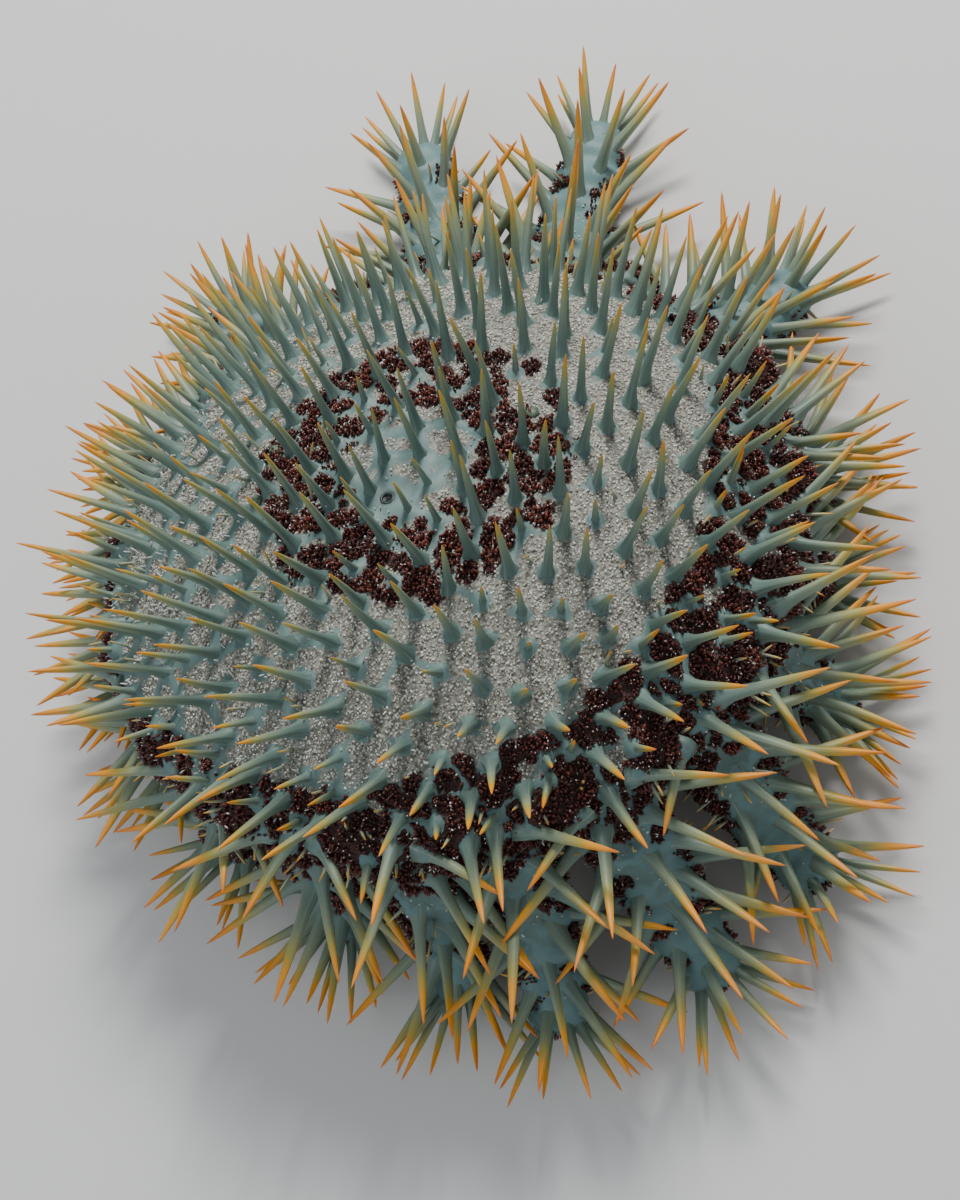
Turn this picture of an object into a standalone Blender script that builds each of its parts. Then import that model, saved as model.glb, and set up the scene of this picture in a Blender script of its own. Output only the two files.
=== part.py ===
import math
import random

import bmesh
import bpy
from mathutils import Matrix, Vector
from mathutils.bvhtree import BVHTree

# Crown of thorns starfish, life size, resting on the floor at z = 0.
# A domed disc with a ring of arms that drape down to the floor from its rim.

MM = 0.001
GAP = 0.3 * MM
SPIKE_SAMPLES = 12
SEED = 17
UP = Vector((0, 0, 1))

# Disc: a dome that leans, measured along the skin from its pole to its rim
DISC_ARC = 118 * MM
POLE_HEIGHT = 90 * MM
LEAN = math.radians(11)
LEAN_TOWARDS = math.radians(63)
RIM_SLOPE = math.radians(48)
DOME_POWER = 1.7
DOME_STEPS = 60
DOME_RINGS = (0.2, 0.4, 0.6, 0.8, 1.0)
DOME_CORNER_POWER = 4
RIM_DEPTH = 23 * MM
UNDER_RADIUS = 50 * MM
UNDER_SINK = 5 * MM

# Mouth: a soft ring set in a recess of the underside
MOUTH_RADIUS = 15 * MM
MOUTH_DEPTH = 4 * MM
MOUTH_HOLE = 5 * MM
MOUTH_PIT = 1.5 * MM
MOUTH_RISE = 1.5 * MM
MOUTH_ROOM = 0.98
MOUTH_SHOULDER = 0.7
MOUTH_SIDES = 20

# Arms: each one's azimuth in degrees and how far out its tip lies, in millimetres
ARMS = (
    (14, 146), (45, 175), (64, 172), (98, 148), (120, 134), (138, 127), (157, 124), (177, 123), (199, 125),
    (219, 132), (236, 147), (252, 161), (269, 166), (287, 160), (304, 136), (322, 118), (344, 120),
)
ARM_TURN_VARIES = math.radians(4)
ARM_WIDTH = 33 * MM
ARM_TIP_WIDTH = 12 * MM
ARM_TIP_DEPTH = 8.5 * MM
ARM_TIP_HEIGHT = 8.5 * MM
ARM_TIP_DROP = 0.05
ARM_TIP_STATION = 0.95
ARM_TIP_SHRINK = 0.7
ARM_DEPTH_POWER = 0.8
ARM_HANDLE = 26 * MM
ARM_HANDLE_SHARE = 0.36
ARM_SIDES = 8
ARM_STATIONS = (0.0, 0.14, 0.3, 0.46, 0.62, 0.78, 0.91, 0.98)
SECTION_POWER = 0.8

# Thorns: stout cones with a flared root
THORN_SIDES = 5
THORN_ROOT = 3.1 * MM
THORN_WAIST = 1.85 * MM
THORN_WAIST_AT = 0.3
THORN_SINK = 2.5 * MM
THORN_TILT_VARIES = math.radians(5)
THORN_SHARES = (1, 0.85, 0.7, 0.55)
DISC_THORNS = 150
DISC_THORN_REACH = 0.965
DISC_THORN_SPLAY = 0.12
DISC_THORN_VARIES = (0.88, 1.08)
DISC_THORN_LENGTH = 28 * MM
RIM_THORN_LENGTH = 32 * MM
ARM_THORN_LENGTH = 36 * MM
TIP_THORN_LENGTH = 27 * MM
ARM_THORN_VARIES = (0.86, 1.08)
ARM_THORN_ROWS = 5
ARM_THORN_START = 0.1
ARM_THORN_SPACING = 0.19
ARM_THORN_ANGLES = ((-34, 34), (-70, 0, 70))
ARM_THORN_LEAN = (0.15, 0.5)
ARM_THORN_TURNS = (1, 0.8, 0.6, 0.4, 0.2)
TIP_THORN_STATION = 0.96
TIP_THORN_ANGLES = (-42, 0, 42)
TIP_THORN_LEAN = 1.9
THORN_LOWEST_RISE = 0.04
GOLDEN_TURN = math.pi * (3 - math.sqrt(5))

# Tube feet: pairs of stalks with suckers along the underside of each arm
FOOT_STATIONS = (0.3, 0.52, 0.74, 0.95)
FOOT_SIDES = 5
FOOT_STALK = 1.2 * MM
FOOT_SUCKER = 2.2 * MM
FOOT_LENGTH = 7 * MM
FOOT_SHARES = (1, 0.7, 0.45)
FOOT_SINK = 2.5 * MM
FOOT_SPREAD = 0.24
FOOT_ROOT_DEPTH = 0.9

# Colours of the two finishes
SKIN_COLOUR = (0.13, 0.22, 0.23)
MOUTH_COLOUR = (0.45, 0.33, 0.24)


def clear_scene():
    for item in list(bpy.data.objects):
        bpy.data.objects.remove(item, do_unlink=True)


def make_collection(name):
    collection = bpy.data.collections.new(name)
    bpy.context.scene.collection.children.link(collection)
    return collection


def make_material(name, colour, roughness):
    material = bpy.data.materials.new(name)
    material.use_nodes = True
    shader = material.node_tree.nodes["Principled BSDF"]
    shader.inputs["Base Color"].default_value = (*colour, 1)
    shader.inputs["Roughness"].default_value = roughness
    shader.inputs["Metallic"].default_value = 0
    return material


def make_object(name, shape, collection, material=None):
    bmesh.ops.recalc_face_normals(shape, faces=shape.faces)
    mesh = bpy.data.meshes.new(name)
    shape.to_mesh(mesh)
    shape.free()
    item = bpy.data.objects.new(name, mesh)
    collection.objects.link(item)
    if material:
        mesh.materials.append(material)
    return item


def loft(rings, first_tip=None, last_tip=None):
    """A closed body through rings of equal count, with flat or pointed ends."""
    shape = bmesh.new()
    rows = [[shape.verts.new(point) for point in ring] for ring in rings]
    count = len(rows[0])
    for near, far in zip(rows, rows[1:]):
        for k in range(count):
            after = (k + 1) % count
            shape.faces.new((near[k], near[after], far[after], far[k]))
    for row, tip in ((rows[0], first_tip), (rows[-1], last_tip)):
        if tip is None:
            shape.faces.new(row)
            continue
        top = shape.verts.new(tip)
        for k in range(count):
            shape.faces.new((row[k], row[(k + 1) % count], top))
    return shape


def dome_profile():
    """Radius, height over the pole and slope of the skin at equal steps from the pole."""
    step = DISC_ARC / DOME_STEPS
    rows = [(0.0, 0.0, 0.0)]
    for k in range(DOME_STEPS):
        radius, height, _ = rows[-1]
        slope = RIM_SLOPE * ((k + 0.5) / DOME_STEPS) ** DOME_POWER
        end_slope = RIM_SLOPE * ((k + 1) / DOME_STEPS) ** DOME_POWER
        rows.append((radius + step * math.cos(slope), height - step * math.sin(slope), end_slope))
    return rows


PROFILE = dome_profile()
RIM_RADIUS, RIM_HEIGHT, _ = PROFILE[-1]
FACET_FOOT_RADIUS = RIM_RADIUS - RIM_DEPTH * math.sin(RIM_SLOPE)
FACET_FOOT_HEIGHT = RIM_HEIGHT - RIM_DEPTH * math.cos(RIM_SLOPE)
UNDER_HEIGHT = FACET_FOOT_HEIGHT - UNDER_SINK
LEAN_AXIS = (-math.sin(LEAN_TOWARDS), math.cos(LEAN_TOWARDS), 0)
LEAN_TURN = Matrix.Rotation(LEAN, 3, LEAN_AXIS)


def around(azimuth, radius, height):
    return Vector((radius * math.cos(azimuth), radius * math.sin(azimuth), height))


def on_dome(azimuth, radius, height):
    """A place in the leaning dome, its height measured from the pole."""
    return LEAN_TURN @ around(azimuth, radius, height) + UP * POLE_HEIGHT


def dome_point(fraction, azimuth):
    """A place on the disc's skin and the way that the skin faces there."""
    radius, height, slope = PROFILE[min(DOME_STEPS, round(fraction * DOME_STEPS))]
    facing = LEAN_TURN @ around(azimuth, math.sin(slope), math.cos(slope))
    return on_dome(azimuth, radius, height), facing


def arm_angles():
    """Each arm's azimuth and the half angles to its neighbours, in radians."""
    azimuths = [azimuth for azimuth, _ in ARMS]
    rows = []
    for k, here in enumerate(azimuths):
        before = (here - azimuths[k - 1]) % 360
        after = (azimuths[(k + 1) % len(azimuths)] - here) % 360
        rows.append((math.radians(here), math.radians(before / 2), math.radians(after / 2)))
    return rows


def disc_ring(radius, height, corner):
    """A ring with a point at each arm and one between, corner 1 making flat facets."""
    ring = []
    for azimuth, _, after in arm_angles():
        ring.append(on_dome(azimuth, radius, height))
        stretch = 1 + corner * (1 / math.cos(after) - 1)
        ring.append(on_dome(azimuth + after, radius * stretch, height))
    return ring


def disc_body():
    rings = []
    for fraction in DOME_RINGS:
        radius, height, _ = PROFILE[round(fraction * DOME_STEPS)]
        rings.append(disc_ring(radius, height, fraction ** DOME_CORNER_POWER))
    rings.append(disc_ring(FACET_FOOT_RADIUS, FACET_FOOT_HEIGHT, 1))
    rings.append(disc_ring(UNDER_RADIUS, UNDER_HEIGHT, 0))
    rings.append(disc_ring(MOUTH_RADIUS + GAP, UNDER_HEIGHT, 0))
    recess = UNDER_HEIGHT + MOUTH_DEPTH + GAP
    rings.append(disc_ring(MOUTH_RADIUS + GAP, recess, 0))
    return loft(rings, on_dome(0, 0, 0), on_dome(0, 0, recess))


def mouth_body():
    """A turned ring with a pit in the middle of its lower face."""
    low = UNDER_HEIGHT
    high = low + MOUTH_DEPTH
    outline = (
        (MOUTH_RADIUS * MOUTH_ROOM, high),
        (MOUTH_RADIUS * MOUTH_ROOM, low),
        (MOUTH_RADIUS * MOUTH_SHOULDER, low - MOUTH_RISE),
        (MOUTH_HOLE, low - MOUTH_RISE / 3),
        (MOUTH_HOLE * MOUTH_SHOULDER, low + MOUTH_PIT),
    )
    rings = []
    for radius, height in outline:
        rings.append([on_dome(math.tau * k / MOUTH_SIDES, radius, height) for k in range(MOUTH_SIDES)])
    return loft(rings)


class Arm:
    """The course of one arm from its facet on the rim to its tip on the floor."""

    def __init__(self, number, reach, angles, draw):
        self.name = f"arm_{number:02d}"
        azimuth, before, after = angles
        turn = draw.uniform(-1, 1) * ARM_TURN_VARIES
        start_radius = (RIM_RADIUS + FACET_FOOT_RADIUS) / 2
        start_height = (RIM_HEIGHT + FACET_FOOT_HEIGHT) / 2
        outward = LEAN_TURN @ around(azimuth, math.cos(RIM_SLOPE), -math.sin(RIM_SLOPE))
        start = on_dome(azimuth, start_radius, start_height) + outward * GAP
        end_azimuth = math.atan2(start.y, start.x) + turn
        end = around(end_azimuth, reach, ARM_TIP_HEIGHT)
        run = around(end_azimuth + 2 * turn, 1, -ARM_TIP_DROP)
        handle = min(ARM_HANDLE, (end - start).length * ARM_HANDLE_SHARE)
        self.points = (start, start + outward * handle, end - run * handle, end)
        side_room = min(math.tan(before), math.tan(after)) * start_radius * 2 - 2 * GAP
        self.width = min(ARM_WIDTH, side_room)

    def place(self, t):
        a, b, c, d = self.points
        s = 1 - t
        return a * s ** 3 + b * 3 * s * s * t + c * 3 * s * t * t + d * t ** 3

    def frame(self, t):
        """Unit vectors along the arm, across it, and out of its back."""
        a, b, c, d = self.points
        s = 1 - t
        along = ((b - a) * s * s + (c - b) * 2 * s * t + (d - c) * t * t).normalized()
        across = UP.cross(along).normalized()
        return along, across, along.cross(across).normalized()

    def size(self, t):
        """Half the width and half the depth of the flesh."""
        width = self.width + (ARM_TIP_WIDTH - self.width) * t
        depth = RIM_DEPTH + (ARM_TIP_DEPTH - RIM_DEPTH) * t ** ARM_DEPTH_POWER
        return width / 2, depth / 2

    def surface(self, t, angle):
        """A place on the skin at an angle from the back, and the way out of it."""
        _, across, back = self.frame(t)
        wide, deep = self.size(t)
        x = math.sin(angle)
        y = math.cos(angle)
        x = math.copysign(abs(x) ** SECTION_POWER, x) * wide
        y = math.copysign(abs(y) ** SECTION_POWER, y) * deep
        return self.place(t) + across * x + back * y, across * math.sin(angle) + back * math.cos(angle)

    def body(self):
        rings = []
        for t in ARM_STATIONS:
            shrink = 1 if t < ARM_TIP_STATION else ARM_TIP_SHRINK
            middle = self.place(t)
            ring = []
            for k in range(ARM_SIDES):
                point, _ = self.surface(t, math.tau * (k + 0.5) / ARM_SIDES)
                ring.append(middle + (point - middle) * shrink)
            rings.append(ring)
        return loft(rings)


def thorn_shape(root, way, length):
    """A cone drawn in at its waist, its root below the skin."""
    shape = bmesh.new()
    depth = length + THORN_SINK
    bmesh.ops.create_cone(
        shape, cap_ends=True, segments=THORN_SIDES, radius1=THORN_ROOT, radius2=0, depth=depth
    )
    waist = depth * (THORN_WAIST_AT - 0.5)
    bmesh.ops.bisect_plane(
        shape, geom=shape.verts[:] + shape.edges[:] + shape.faces[:], plane_co=(0, 0, waist), plane_no=(0, 0, 1)
    )
    for vert in shape.verts:
        if abs(vert.co.z - waist) < GAP:
            vert.co.xy *= THORN_WAIST / vert.co.xy.length
    turn = UP.rotation_difference(way).to_matrix().to_4x4()
    place = Matrix.Translation(root + way * (depth / 2 - THORN_SINK))
    shape.transform(place @ turn)
    return shape


def foot_shape(root, way, length):
    """A stalk that flares to a flat sucker."""
    rings = []
    across = way.orthogonal().normalized()
    other = way.cross(across)
    for distance, radius in ((-FOOT_SINK, FOOT_STALK), (length, FOOT_SUCKER)):
        ring = []
        for k in range(FOOT_SIDES):
            angle = math.tau * k / FOOT_SIDES
            ring.append(root + way * distance + (across * math.cos(angle) + other * math.sin(angle)) * radius)
        rings.append(ring)
    return loft(rings)


def keep_largest(item):
    """Leaves only the largest closed surface of a mesh."""
    shape = bmesh.new()
    shape.from_mesh(item.data)
    left = set(shape.verts)
    groups = []
    while left:
        group = {left.pop()}
        edge = list(group)
        while edge:
            vert = edge.pop()
            for link in vert.link_edges:
                other = link.other_vert(vert)
                if other in left:
                    left.remove(other)
                    group.add(other)
                    edge.append(other)
        groups.append(group)
    groups.sort(key=len)
    for group in groups[:-1]:
        bmesh.ops.delete(shape, geom=list(group), context="VERTS")
    shape.to_mesh(item.data)
    shape.free()


def join_pieces(item, shapes):
    """Joins closed pieces to a node with one union."""
    pieces = make_collection(item.name + "_pieces")
    for k, shape in enumerate(shapes):
        make_object(f"{item.name}_piece_{k:03d}", shape, pieces)
    union = item.modifiers.new("union", "BOOLEAN")
    union.operation = "UNION"
    union.operand_type = "COLLECTION"
    union.collection = pieces
    union.solver = "EXACT"
    bpy.context.view_layer.update()
    graph = bpy.context.evaluated_depsgraph_get()
    joined = bpy.data.meshes.new_from_object(item.evaluated_get(graph))
    item.modifiers.clear()
    old = item.data
    item.data = joined
    bpy.data.meshes.remove(old)
    for piece in list(pieces.objects):
        bpy.data.objects.remove(piece, do_unlink=True)
    bpy.data.collections.remove(pieces)
    keep_largest(item)


class Spike:
    """A thorn or foot as a straight taper, for tests of clearance."""

    def __init__(self, root, way, length, near_radius, far_radius):
        self.root = root
        self.way = way
        self.length = length
        self.near_radius = near_radius
        self.far_radius = far_radius

    def radius(self, share):
        return self.near_radius + (self.far_radius - self.near_radius) * share

    def samples(self):
        shares = [k / SPIKE_SAMPLES for k in range(1, SPIKE_SAMPLES + 1)]
        return [(self.root + self.way * self.length * share, self.radius(share)) for share in shares]

    def distance(self, place):
        """How far a place is from the spike's skin."""
        along = min(max((place - self.root).dot(self.way), 0), self.length)
        return (place - self.root - self.way * along).length - self.radius(along / self.length)


class Clearance:
    """Keeps thorns and feet clear of the floor and of other nodes."""

    def __init__(self):
        self.bodies = {}
        self.spikes = []

    def add_body(self, item):
        shape = bmesh.new()
        shape.from_mesh(item.data)
        self.bodies[item.name] = BVHTree.FromBMesh(shape)
        shape.free()

    def add_spike(self, name, spike):
        self.spikes.append((name, spike))

    def is_inside(self, tree, place):
        """Whether a line straight up from a place leaves the body an odd number of times."""
        crossings = 0
        spot = tree.ray_cast(place, UP)[0]
        while spot:
            crossings += 1
            spot = tree.ray_cast(spot + UP * GAP / 10, UP)[0]
        return crossings % 2 == 1

    def is_clear(self, name, spike):
        samples = spike.samples()
        if any(place.z - radius < 2 * GAP for place, radius in samples):
            return False
        for other, tree in self.bodies.items():
            if other == name:
                continue
            for place, radius in samples:
                distance = tree.find_nearest(place)[3]
                if distance < radius + 2 * GAP or self.is_inside(tree, place):
                    return False
        for other, far in self.spikes:
            if (far.root - spike.root).length > spike.length + far.length:
                continue
            room = 3 * GAP if other != name else -GAP
            if any(far.distance(place) < radius + room for place, radius in samples):
                return False
        return True


def place_thorn(clearance, name, root, ways, length):
    """The first direction and length that is clear, or nothing."""
    for share in THORN_SHARES:
        for way in ways:
            spike = Spike(root, way, length * share, THORN_WAIST / (1 - THORN_WAIST_AT), 0)
            if clearance.is_clear(name, spike):
                clearance.add_spike(name, spike)
                return thorn_shape(root, way, length * share)
    return None


def tilted(way, draw):
    """A direction varied a little."""
    aside = way.orthogonal().normalized()
    aside.rotate(Matrix.Rotation(draw.uniform(0, math.tau), 3, way))
    return (way + aside * math.tan(draw.uniform(0, THORN_TILT_VARIES))).normalized()


def disc_thorns(clearance, draw):
    """Thorns in a sunflower pattern, longer and more splayed towards the rim."""
    shapes = []
    for k in range(DISC_THORNS):
        fraction = DISC_THORN_REACH * math.sqrt((k + 0.5) / DISC_THORNS)
        azimuth = k * GOLDEN_TURN
        root, facing = dome_point(fraction, azimuth)
        length = DISC_THORN_LENGTH + (RIM_THORN_LENGTH - DISC_THORN_LENGTH) * fraction ** 2
        length *= draw.uniform(*DISC_THORN_VARIES)
        outward = around(azimuth, 1, 0)
        way = tilted((facing + outward * DISC_THORN_SPLAY * fraction).normalized(), draw)
        shape = place_thorn(clearance, "disc", root, (way, facing), length)
        if shape:
            shapes.append(shape)
    return shapes


def arm_thorns(arm, clearance, draw):
    """Rows along the back and sides, and a fan round the tip."""
    plan = []
    for k in range(ARM_THORN_ROWS):
        t = ARM_THORN_START + ARM_THORN_SPACING * k
        lean = ARM_THORN_LEAN[0] + ARM_THORN_LEAN[1] * t
        plan += [(t, angle, lean) for angle in ARM_THORN_ANGLES[k % 2]]
    plan += [(TIP_THORN_STATION, angle, TIP_THORN_LEAN) for angle in TIP_THORN_ANGLES]
    shapes = []
    for t, degrees, lean in plan:
        along, _, _ = arm.frame(t)
        length = ARM_THORN_LENGTH + (TIP_THORN_LENGTH - ARM_THORN_LENGTH) * t ** 2
        length *= draw.uniform(*ARM_THORN_VARIES)
        root, _ = arm.surface(t, math.radians(degrees))
        ways = []
        for share in ARM_THORN_TURNS:
            _, facing = arm.surface(t, math.radians(degrees * share))
            way = facing + along * lean
            way.z = max(way.z, THORN_LOWEST_RISE)
            ways.append(way.normalized())
        ways[0] = tilted(ways[0], draw)
        shape = place_thorn(clearance, arm.name, root, ways, length)
        if shape:
            shapes.append(shape)
    return shapes


def arm_feet(arm, clearance):
    """Pairs of tube feet, the outer ones standing on the floor."""
    shapes = []
    for t in FOOT_STATIONS:
        wide, deep = arm.size(t)
        _, across, back = arm.frame(t)
        for side in (-1, 1):
            root = arm.place(t) + across * side * wide * 2 * FOOT_SPREAD - back * deep * FOOT_ROOT_DEPTH
            stands = root.z < FOOT_LENGTH
            way = -UP if stands else -back
            for share in FOOT_SHARES:
                length = root.z if stands else FOOT_LENGTH * share
                spike = Spike(root, way, length, FOOT_STALK, FOOT_SUCKER)
                if stands or clearance.is_clear(arm.name, spike):
                    clearance.add_spike(arm.name, spike)
                    shapes.append(foot_shape(root, way, length))
                    break
    return shapes


def centre_on_floor(items):
    """Moves the whole model so that its box stands centred on the origin."""
    corners = [vert.co for item in items for vert in item.data.vertices]
    middle_x = (min(c.x for c in corners) + max(c.x for c in corners)) / 2
    middle_y = (min(c.y for c in corners) + max(c.y for c in corners)) / 2
    for item in items:
        item.location = (-middle_x, -middle_y, 0)


def build():
    clear_scene()
    draw = random.Random(SEED)
    parts = make_collection("crown_of_thorns_starfish")
    skin = make_material("teal_skin", SKIN_COLOUR, 0.5)
    membrane = make_material("mouth_membrane", MOUTH_COLOUR, 0.6)
    disc = make_object("disc", disc_body(), parts, skin)
    mouth = make_object("mouth", mouth_body(), parts, membrane)
    arms = []
    for k, angles in enumerate(arm_angles()):
        arms.append(Arm(k + 1, ARMS[k][1] * MM, angles, draw))
    bodies = [make_object(arm.name, arm.body(), parts, skin) for arm in arms]
    clearance = Clearance()
    for item in [disc, *bodies]:
        clearance.add_body(item)
    feet = [arm_feet(arm, clearance) for arm in arms]
    join_pieces(disc, disc_thorns(clearance, draw))
    for arm, item, shapes in zip(arms, bodies, feet):
        join_pieces(item, shapes + arm_thorns(arm, clearance, draw))
    centre_on_floor([disc, mouth, *bodies])


build()
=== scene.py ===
# %% [markdown]
# # A crown of thorns starfish, life size
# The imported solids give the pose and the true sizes. This lesson dresses them:
# one seamless skin over disc and arms, a coat of thorns with orange tips,
# clusters of dark red breathing beads, chalky granules and rows of tube feet.

# %% Load the frame
import itertools
import math
import random

import bpy
import numpy as np
from mathutils import Matrix, Vector, noise
from mathutils.bvhtree import BVHTree
from mathutils.kdtree import KDTree


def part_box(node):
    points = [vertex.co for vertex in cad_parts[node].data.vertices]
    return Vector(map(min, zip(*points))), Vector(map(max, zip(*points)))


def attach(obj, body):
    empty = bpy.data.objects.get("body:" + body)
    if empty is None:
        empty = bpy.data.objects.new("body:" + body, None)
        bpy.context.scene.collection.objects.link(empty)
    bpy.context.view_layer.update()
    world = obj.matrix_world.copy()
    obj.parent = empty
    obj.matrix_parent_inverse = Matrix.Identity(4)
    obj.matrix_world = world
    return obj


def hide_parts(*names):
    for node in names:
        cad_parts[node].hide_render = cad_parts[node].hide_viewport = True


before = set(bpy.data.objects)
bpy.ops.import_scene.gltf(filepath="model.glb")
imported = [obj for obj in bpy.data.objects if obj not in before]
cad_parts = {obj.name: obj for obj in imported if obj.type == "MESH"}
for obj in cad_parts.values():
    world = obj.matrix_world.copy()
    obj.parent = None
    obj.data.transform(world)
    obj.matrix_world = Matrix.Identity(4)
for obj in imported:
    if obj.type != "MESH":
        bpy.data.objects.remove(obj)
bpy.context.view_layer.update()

bpy.ops.object.select_all(action="DESELECT")
MM = 0.001
SEED = 31
draw = random.Random(SEED)
ARM_NODES = sorted(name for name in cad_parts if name.startswith("arm_"))

# %% [markdown]
# ## Camera, floor and light
# The picture looks down on the animal at a steep angle, a little turned.
# The camera is built from three directions: across the picture, up it, and towards the eye.
# A pale floor and broad soft lamps keep the colours honest.

# %% Camera
EYE_HEIGHT = math.radians(62)
EYE_ROLL = math.radians(33)
EYE_DISTANCE = 0.75
LENS = 74.25
SENSOR = 36
FRAME_HIGH = 1200
DISC_TOP = 90 * MM
DISC_TOP_RIGHT_OF_MIDDLE = -68
DISC_TOP_ABOVE_MIDDLE = 108

toward_eye = Vector((0, -math.cos(EYE_HEIGHT), math.sin(EYE_HEIGHT)))
level_up = Vector((0, math.sin(EYE_HEIGHT), math.cos(EYE_HEIGHT)))
level_right = Vector((1, 0, 0))
picture_right = level_right * math.cos(EYE_ROLL) - level_up * math.sin(EYE_ROLL)
picture_up = level_right * math.sin(EYE_ROLL) + level_up * math.cos(EYE_ROLL)
mouth_low, mouth_high = (Vector(corner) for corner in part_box("mouth"))
disc_top = Vector(((mouth_low.x + mouth_high.x) / 2, (mouth_low.y + mouth_high.y) / 2, DISC_TOP))
metres_per_pixel = SENSOR / LENS * EYE_DISTANCE / FRAME_HIGH
eye = disc_top + toward_eye * EYE_DISTANCE
eye -= picture_right * DISC_TOP_RIGHT_OF_MIDDLE * metres_per_pixel
eye -= picture_up * DISC_TOP_ABOVE_MIDDLE * metres_per_pixel

bpy.ops.object.camera_add(location=eye)
camera = bpy.context.object
camera.data.lens = LENS
camera.data.sensor_width = SENSOR
turned = Matrix((picture_right, picture_up, toward_eye)).transposed()
camera.rotation_mode = "QUATERNION"
camera.rotation_quaternion = turned.to_quaternion()
bpy.context.scene.camera = camera
print("camera at", [round(value, 3) for value in eye])

# %% Floor and lamps
# The place, power, size and colour of each lamp.
LAMPS = (
    ((0.7, 0.8, 1.2), 30, 0.4, (1.0, 0.97, 0.92)),
    ((-1.1, -0.2, 1.1), 7, 1.2, (0.92, 0.97, 1.0)),
    ((0.2, -1.4, 0.7), 3, 1.2, (1.0, 1.0, 1.0)),
)
SKY_COLOUR = (0.9, 0.94, 1.0, 1)
SKY_STRENGTH = 0.27
FLOOR_SIZE = 8


def add_lamp(place, power, size, colour):
    bpy.ops.object.light_add(type="AREA", location=place)
    lamp = bpy.context.object
    lamp.data.energy = power
    lamp.data.size = size
    lamp.data.color = colour
    lamp.rotation_mode = "QUATERNION"
    lamp.rotation_quaternion = Vector(place).to_track_quat("Z", "Y")


for lamp_settings in LAMPS:
    add_lamp(*lamp_settings)
world = bpy.data.worlds.new("studio")
bpy.context.scene.world = world
world.use_nodes = True
sky = world.node_tree.nodes["Background"]
sky.inputs["Color"].default_value = SKY_COLOUR
sky.inputs["Strength"].default_value = SKY_STRENGTH
bpy.ops.mesh.primitive_plane_add(size=FLOOR_SIZE, location=(0, 0, 0))
floor = bpy.context.object
floor.name = "studio_floor"

# %% [markdown]
# ## Shader maths as plain sums
# A material is a graph of nodes. Wrapping a socket in a small class lets a mask be written
# as an ordinary sum, such as 1 - mask * 0.5, and each sum adds its own Math node.


# %% Shader helper
class Value:
    """One number in a shader."""

    def __init__(self, finish, socket):
        self.finish = finish
        self.socket = socket

    def maths(self, operation, *numbers):
        node = self.finish.node("ShaderNodeMath", {"operation": operation}, dict(enumerate(numbers)))
        return Value(self.finish, node.outputs[0])

    def __add__(self, other):
        return self.maths("ADD", self, other)

    def __sub__(self, other):
        return self.maths("SUBTRACT", self, other)

    def __rsub__(self, other):
        return self.maths("SUBTRACT", other, self)

    def __mul__(self, other):
        return self.maths("MULTIPLY", self, other)

    __radd__ = __add__
    __rmul__ = __mul__

    def sine(self):
        return self.maths("SINE", self)

    def between(self, low, high):
        """0 below low, 1 above high and a soft step between them."""
        settings = {"interpolation_type": "SMOOTHSTEP"}
        node = self.finish.node("ShaderNodeMapRange", settings, {0: self, 1: low, 2: high})
        return Value(self.finish, node.outputs[0])


class Finish:
    """A material whose nodes are added one by one."""

    def __init__(self, name, roughness):
        self.material = bpy.data.materials.new(name)
        self.material.use_nodes = True
        self.tree = self.material.node_tree
        self.shader = self.tree.nodes["Principled BSDF"]
        self.shader.inputs["Roughness"].default_value = roughness

    def fill(self, socket, value):
        if isinstance(value, Value):
            value = value.socket
        if isinstance(value, bpy.types.NodeSocket):
            self.tree.links.new(value, socket)
        elif isinstance(value, (tuple, list)) and socket.type == "RGBA":
            socket.default_value = (*value[:3], 1)
        else:
            socket.default_value = value

    def node(self, kind, settings=None, sockets=None):
        node = self.tree.nodes.new(kind)
        for key, value in (settings or {}).items():
            if key != "stops":
                setattr(node, key, value)
                continue
            ramp = node.color_ramp
            while len(ramp.elements) < len(value):
                ramp.elements.new(1)
            for stop, (place, colour) in zip(ramp.elements, value):
                stop.position = place
                stop.color = (*colour, 1)
        for key, value in (sockets or {}).items():
            self.fill(node.inputs[key], value)
        return node

    def attribute(self, name):
        return Value(self, self.node("ShaderNodeAttribute", {"attribute_name": name}).outputs["Fac"])

    def vector_attribute(self, name):
        return self.node("ShaderNodeAttribute", {"attribute_name": name}).outputs["Vector"]

    def place(self):
        return self.node("ShaderNodeTexCoord").outputs["Object"]

    def noise(self, scale, detail=3.0, vector=None):
        sockets = {"Vector": vector or self.place(), "Scale": scale, "Detail": detail}
        return Value(self, self.node("ShaderNodeTexNoise", None, sockets).outputs["Fac"])

    def cells(self, scale):
        sockets = {"Vector": self.place(), "Scale": scale}
        return Value(self, self.node("ShaderNodeTexVoronoi", None, sockets).outputs["Distance"])

    def mix(self, share, first, second):
        node = self.node("ShaderNodeMix", {"data_type": "RGBA"}, {0: share, 6: first, 7: second})
        return node.outputs[2]

    def ramp(self, share, stops):
        return self.node("ShaderNodeValToRGB", {"stops": stops}, {"Fac": share}).outputs["Color"]

    def colour(self, value):
        self.fill(self.shader.inputs["Base Color"], value)

    def roughness(self, value):
        self.fill(self.shader.inputs["Roughness"], value)

    def bump(self, height, depth, strength=1.0):
        sockets = {"Height": height, "Distance": depth, "Strength": strength}
        node = self.node("ShaderNodeBump", None, sockets)
        self.fill(self.shader.inputs["Normal"], node.outputs["Normal"])


# %% Floor finish
PAPER = (0.72, 0.73, 0.74)
paper = Finish("floor_paper", 0.85)
paper.colour(paper.mix(paper.noise(6.0), PAPER, tuple(value * 0.96 for value in PAPER)))
floor.data.materials.append(paper.material)

# %% [markdown]
# ## The measured form
# The skin has to lie on the solids, so the same few sizes that shape them are repeated here:
# the curve of the dome from its pole to its rim, the way it leans, and each arm's course.

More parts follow.
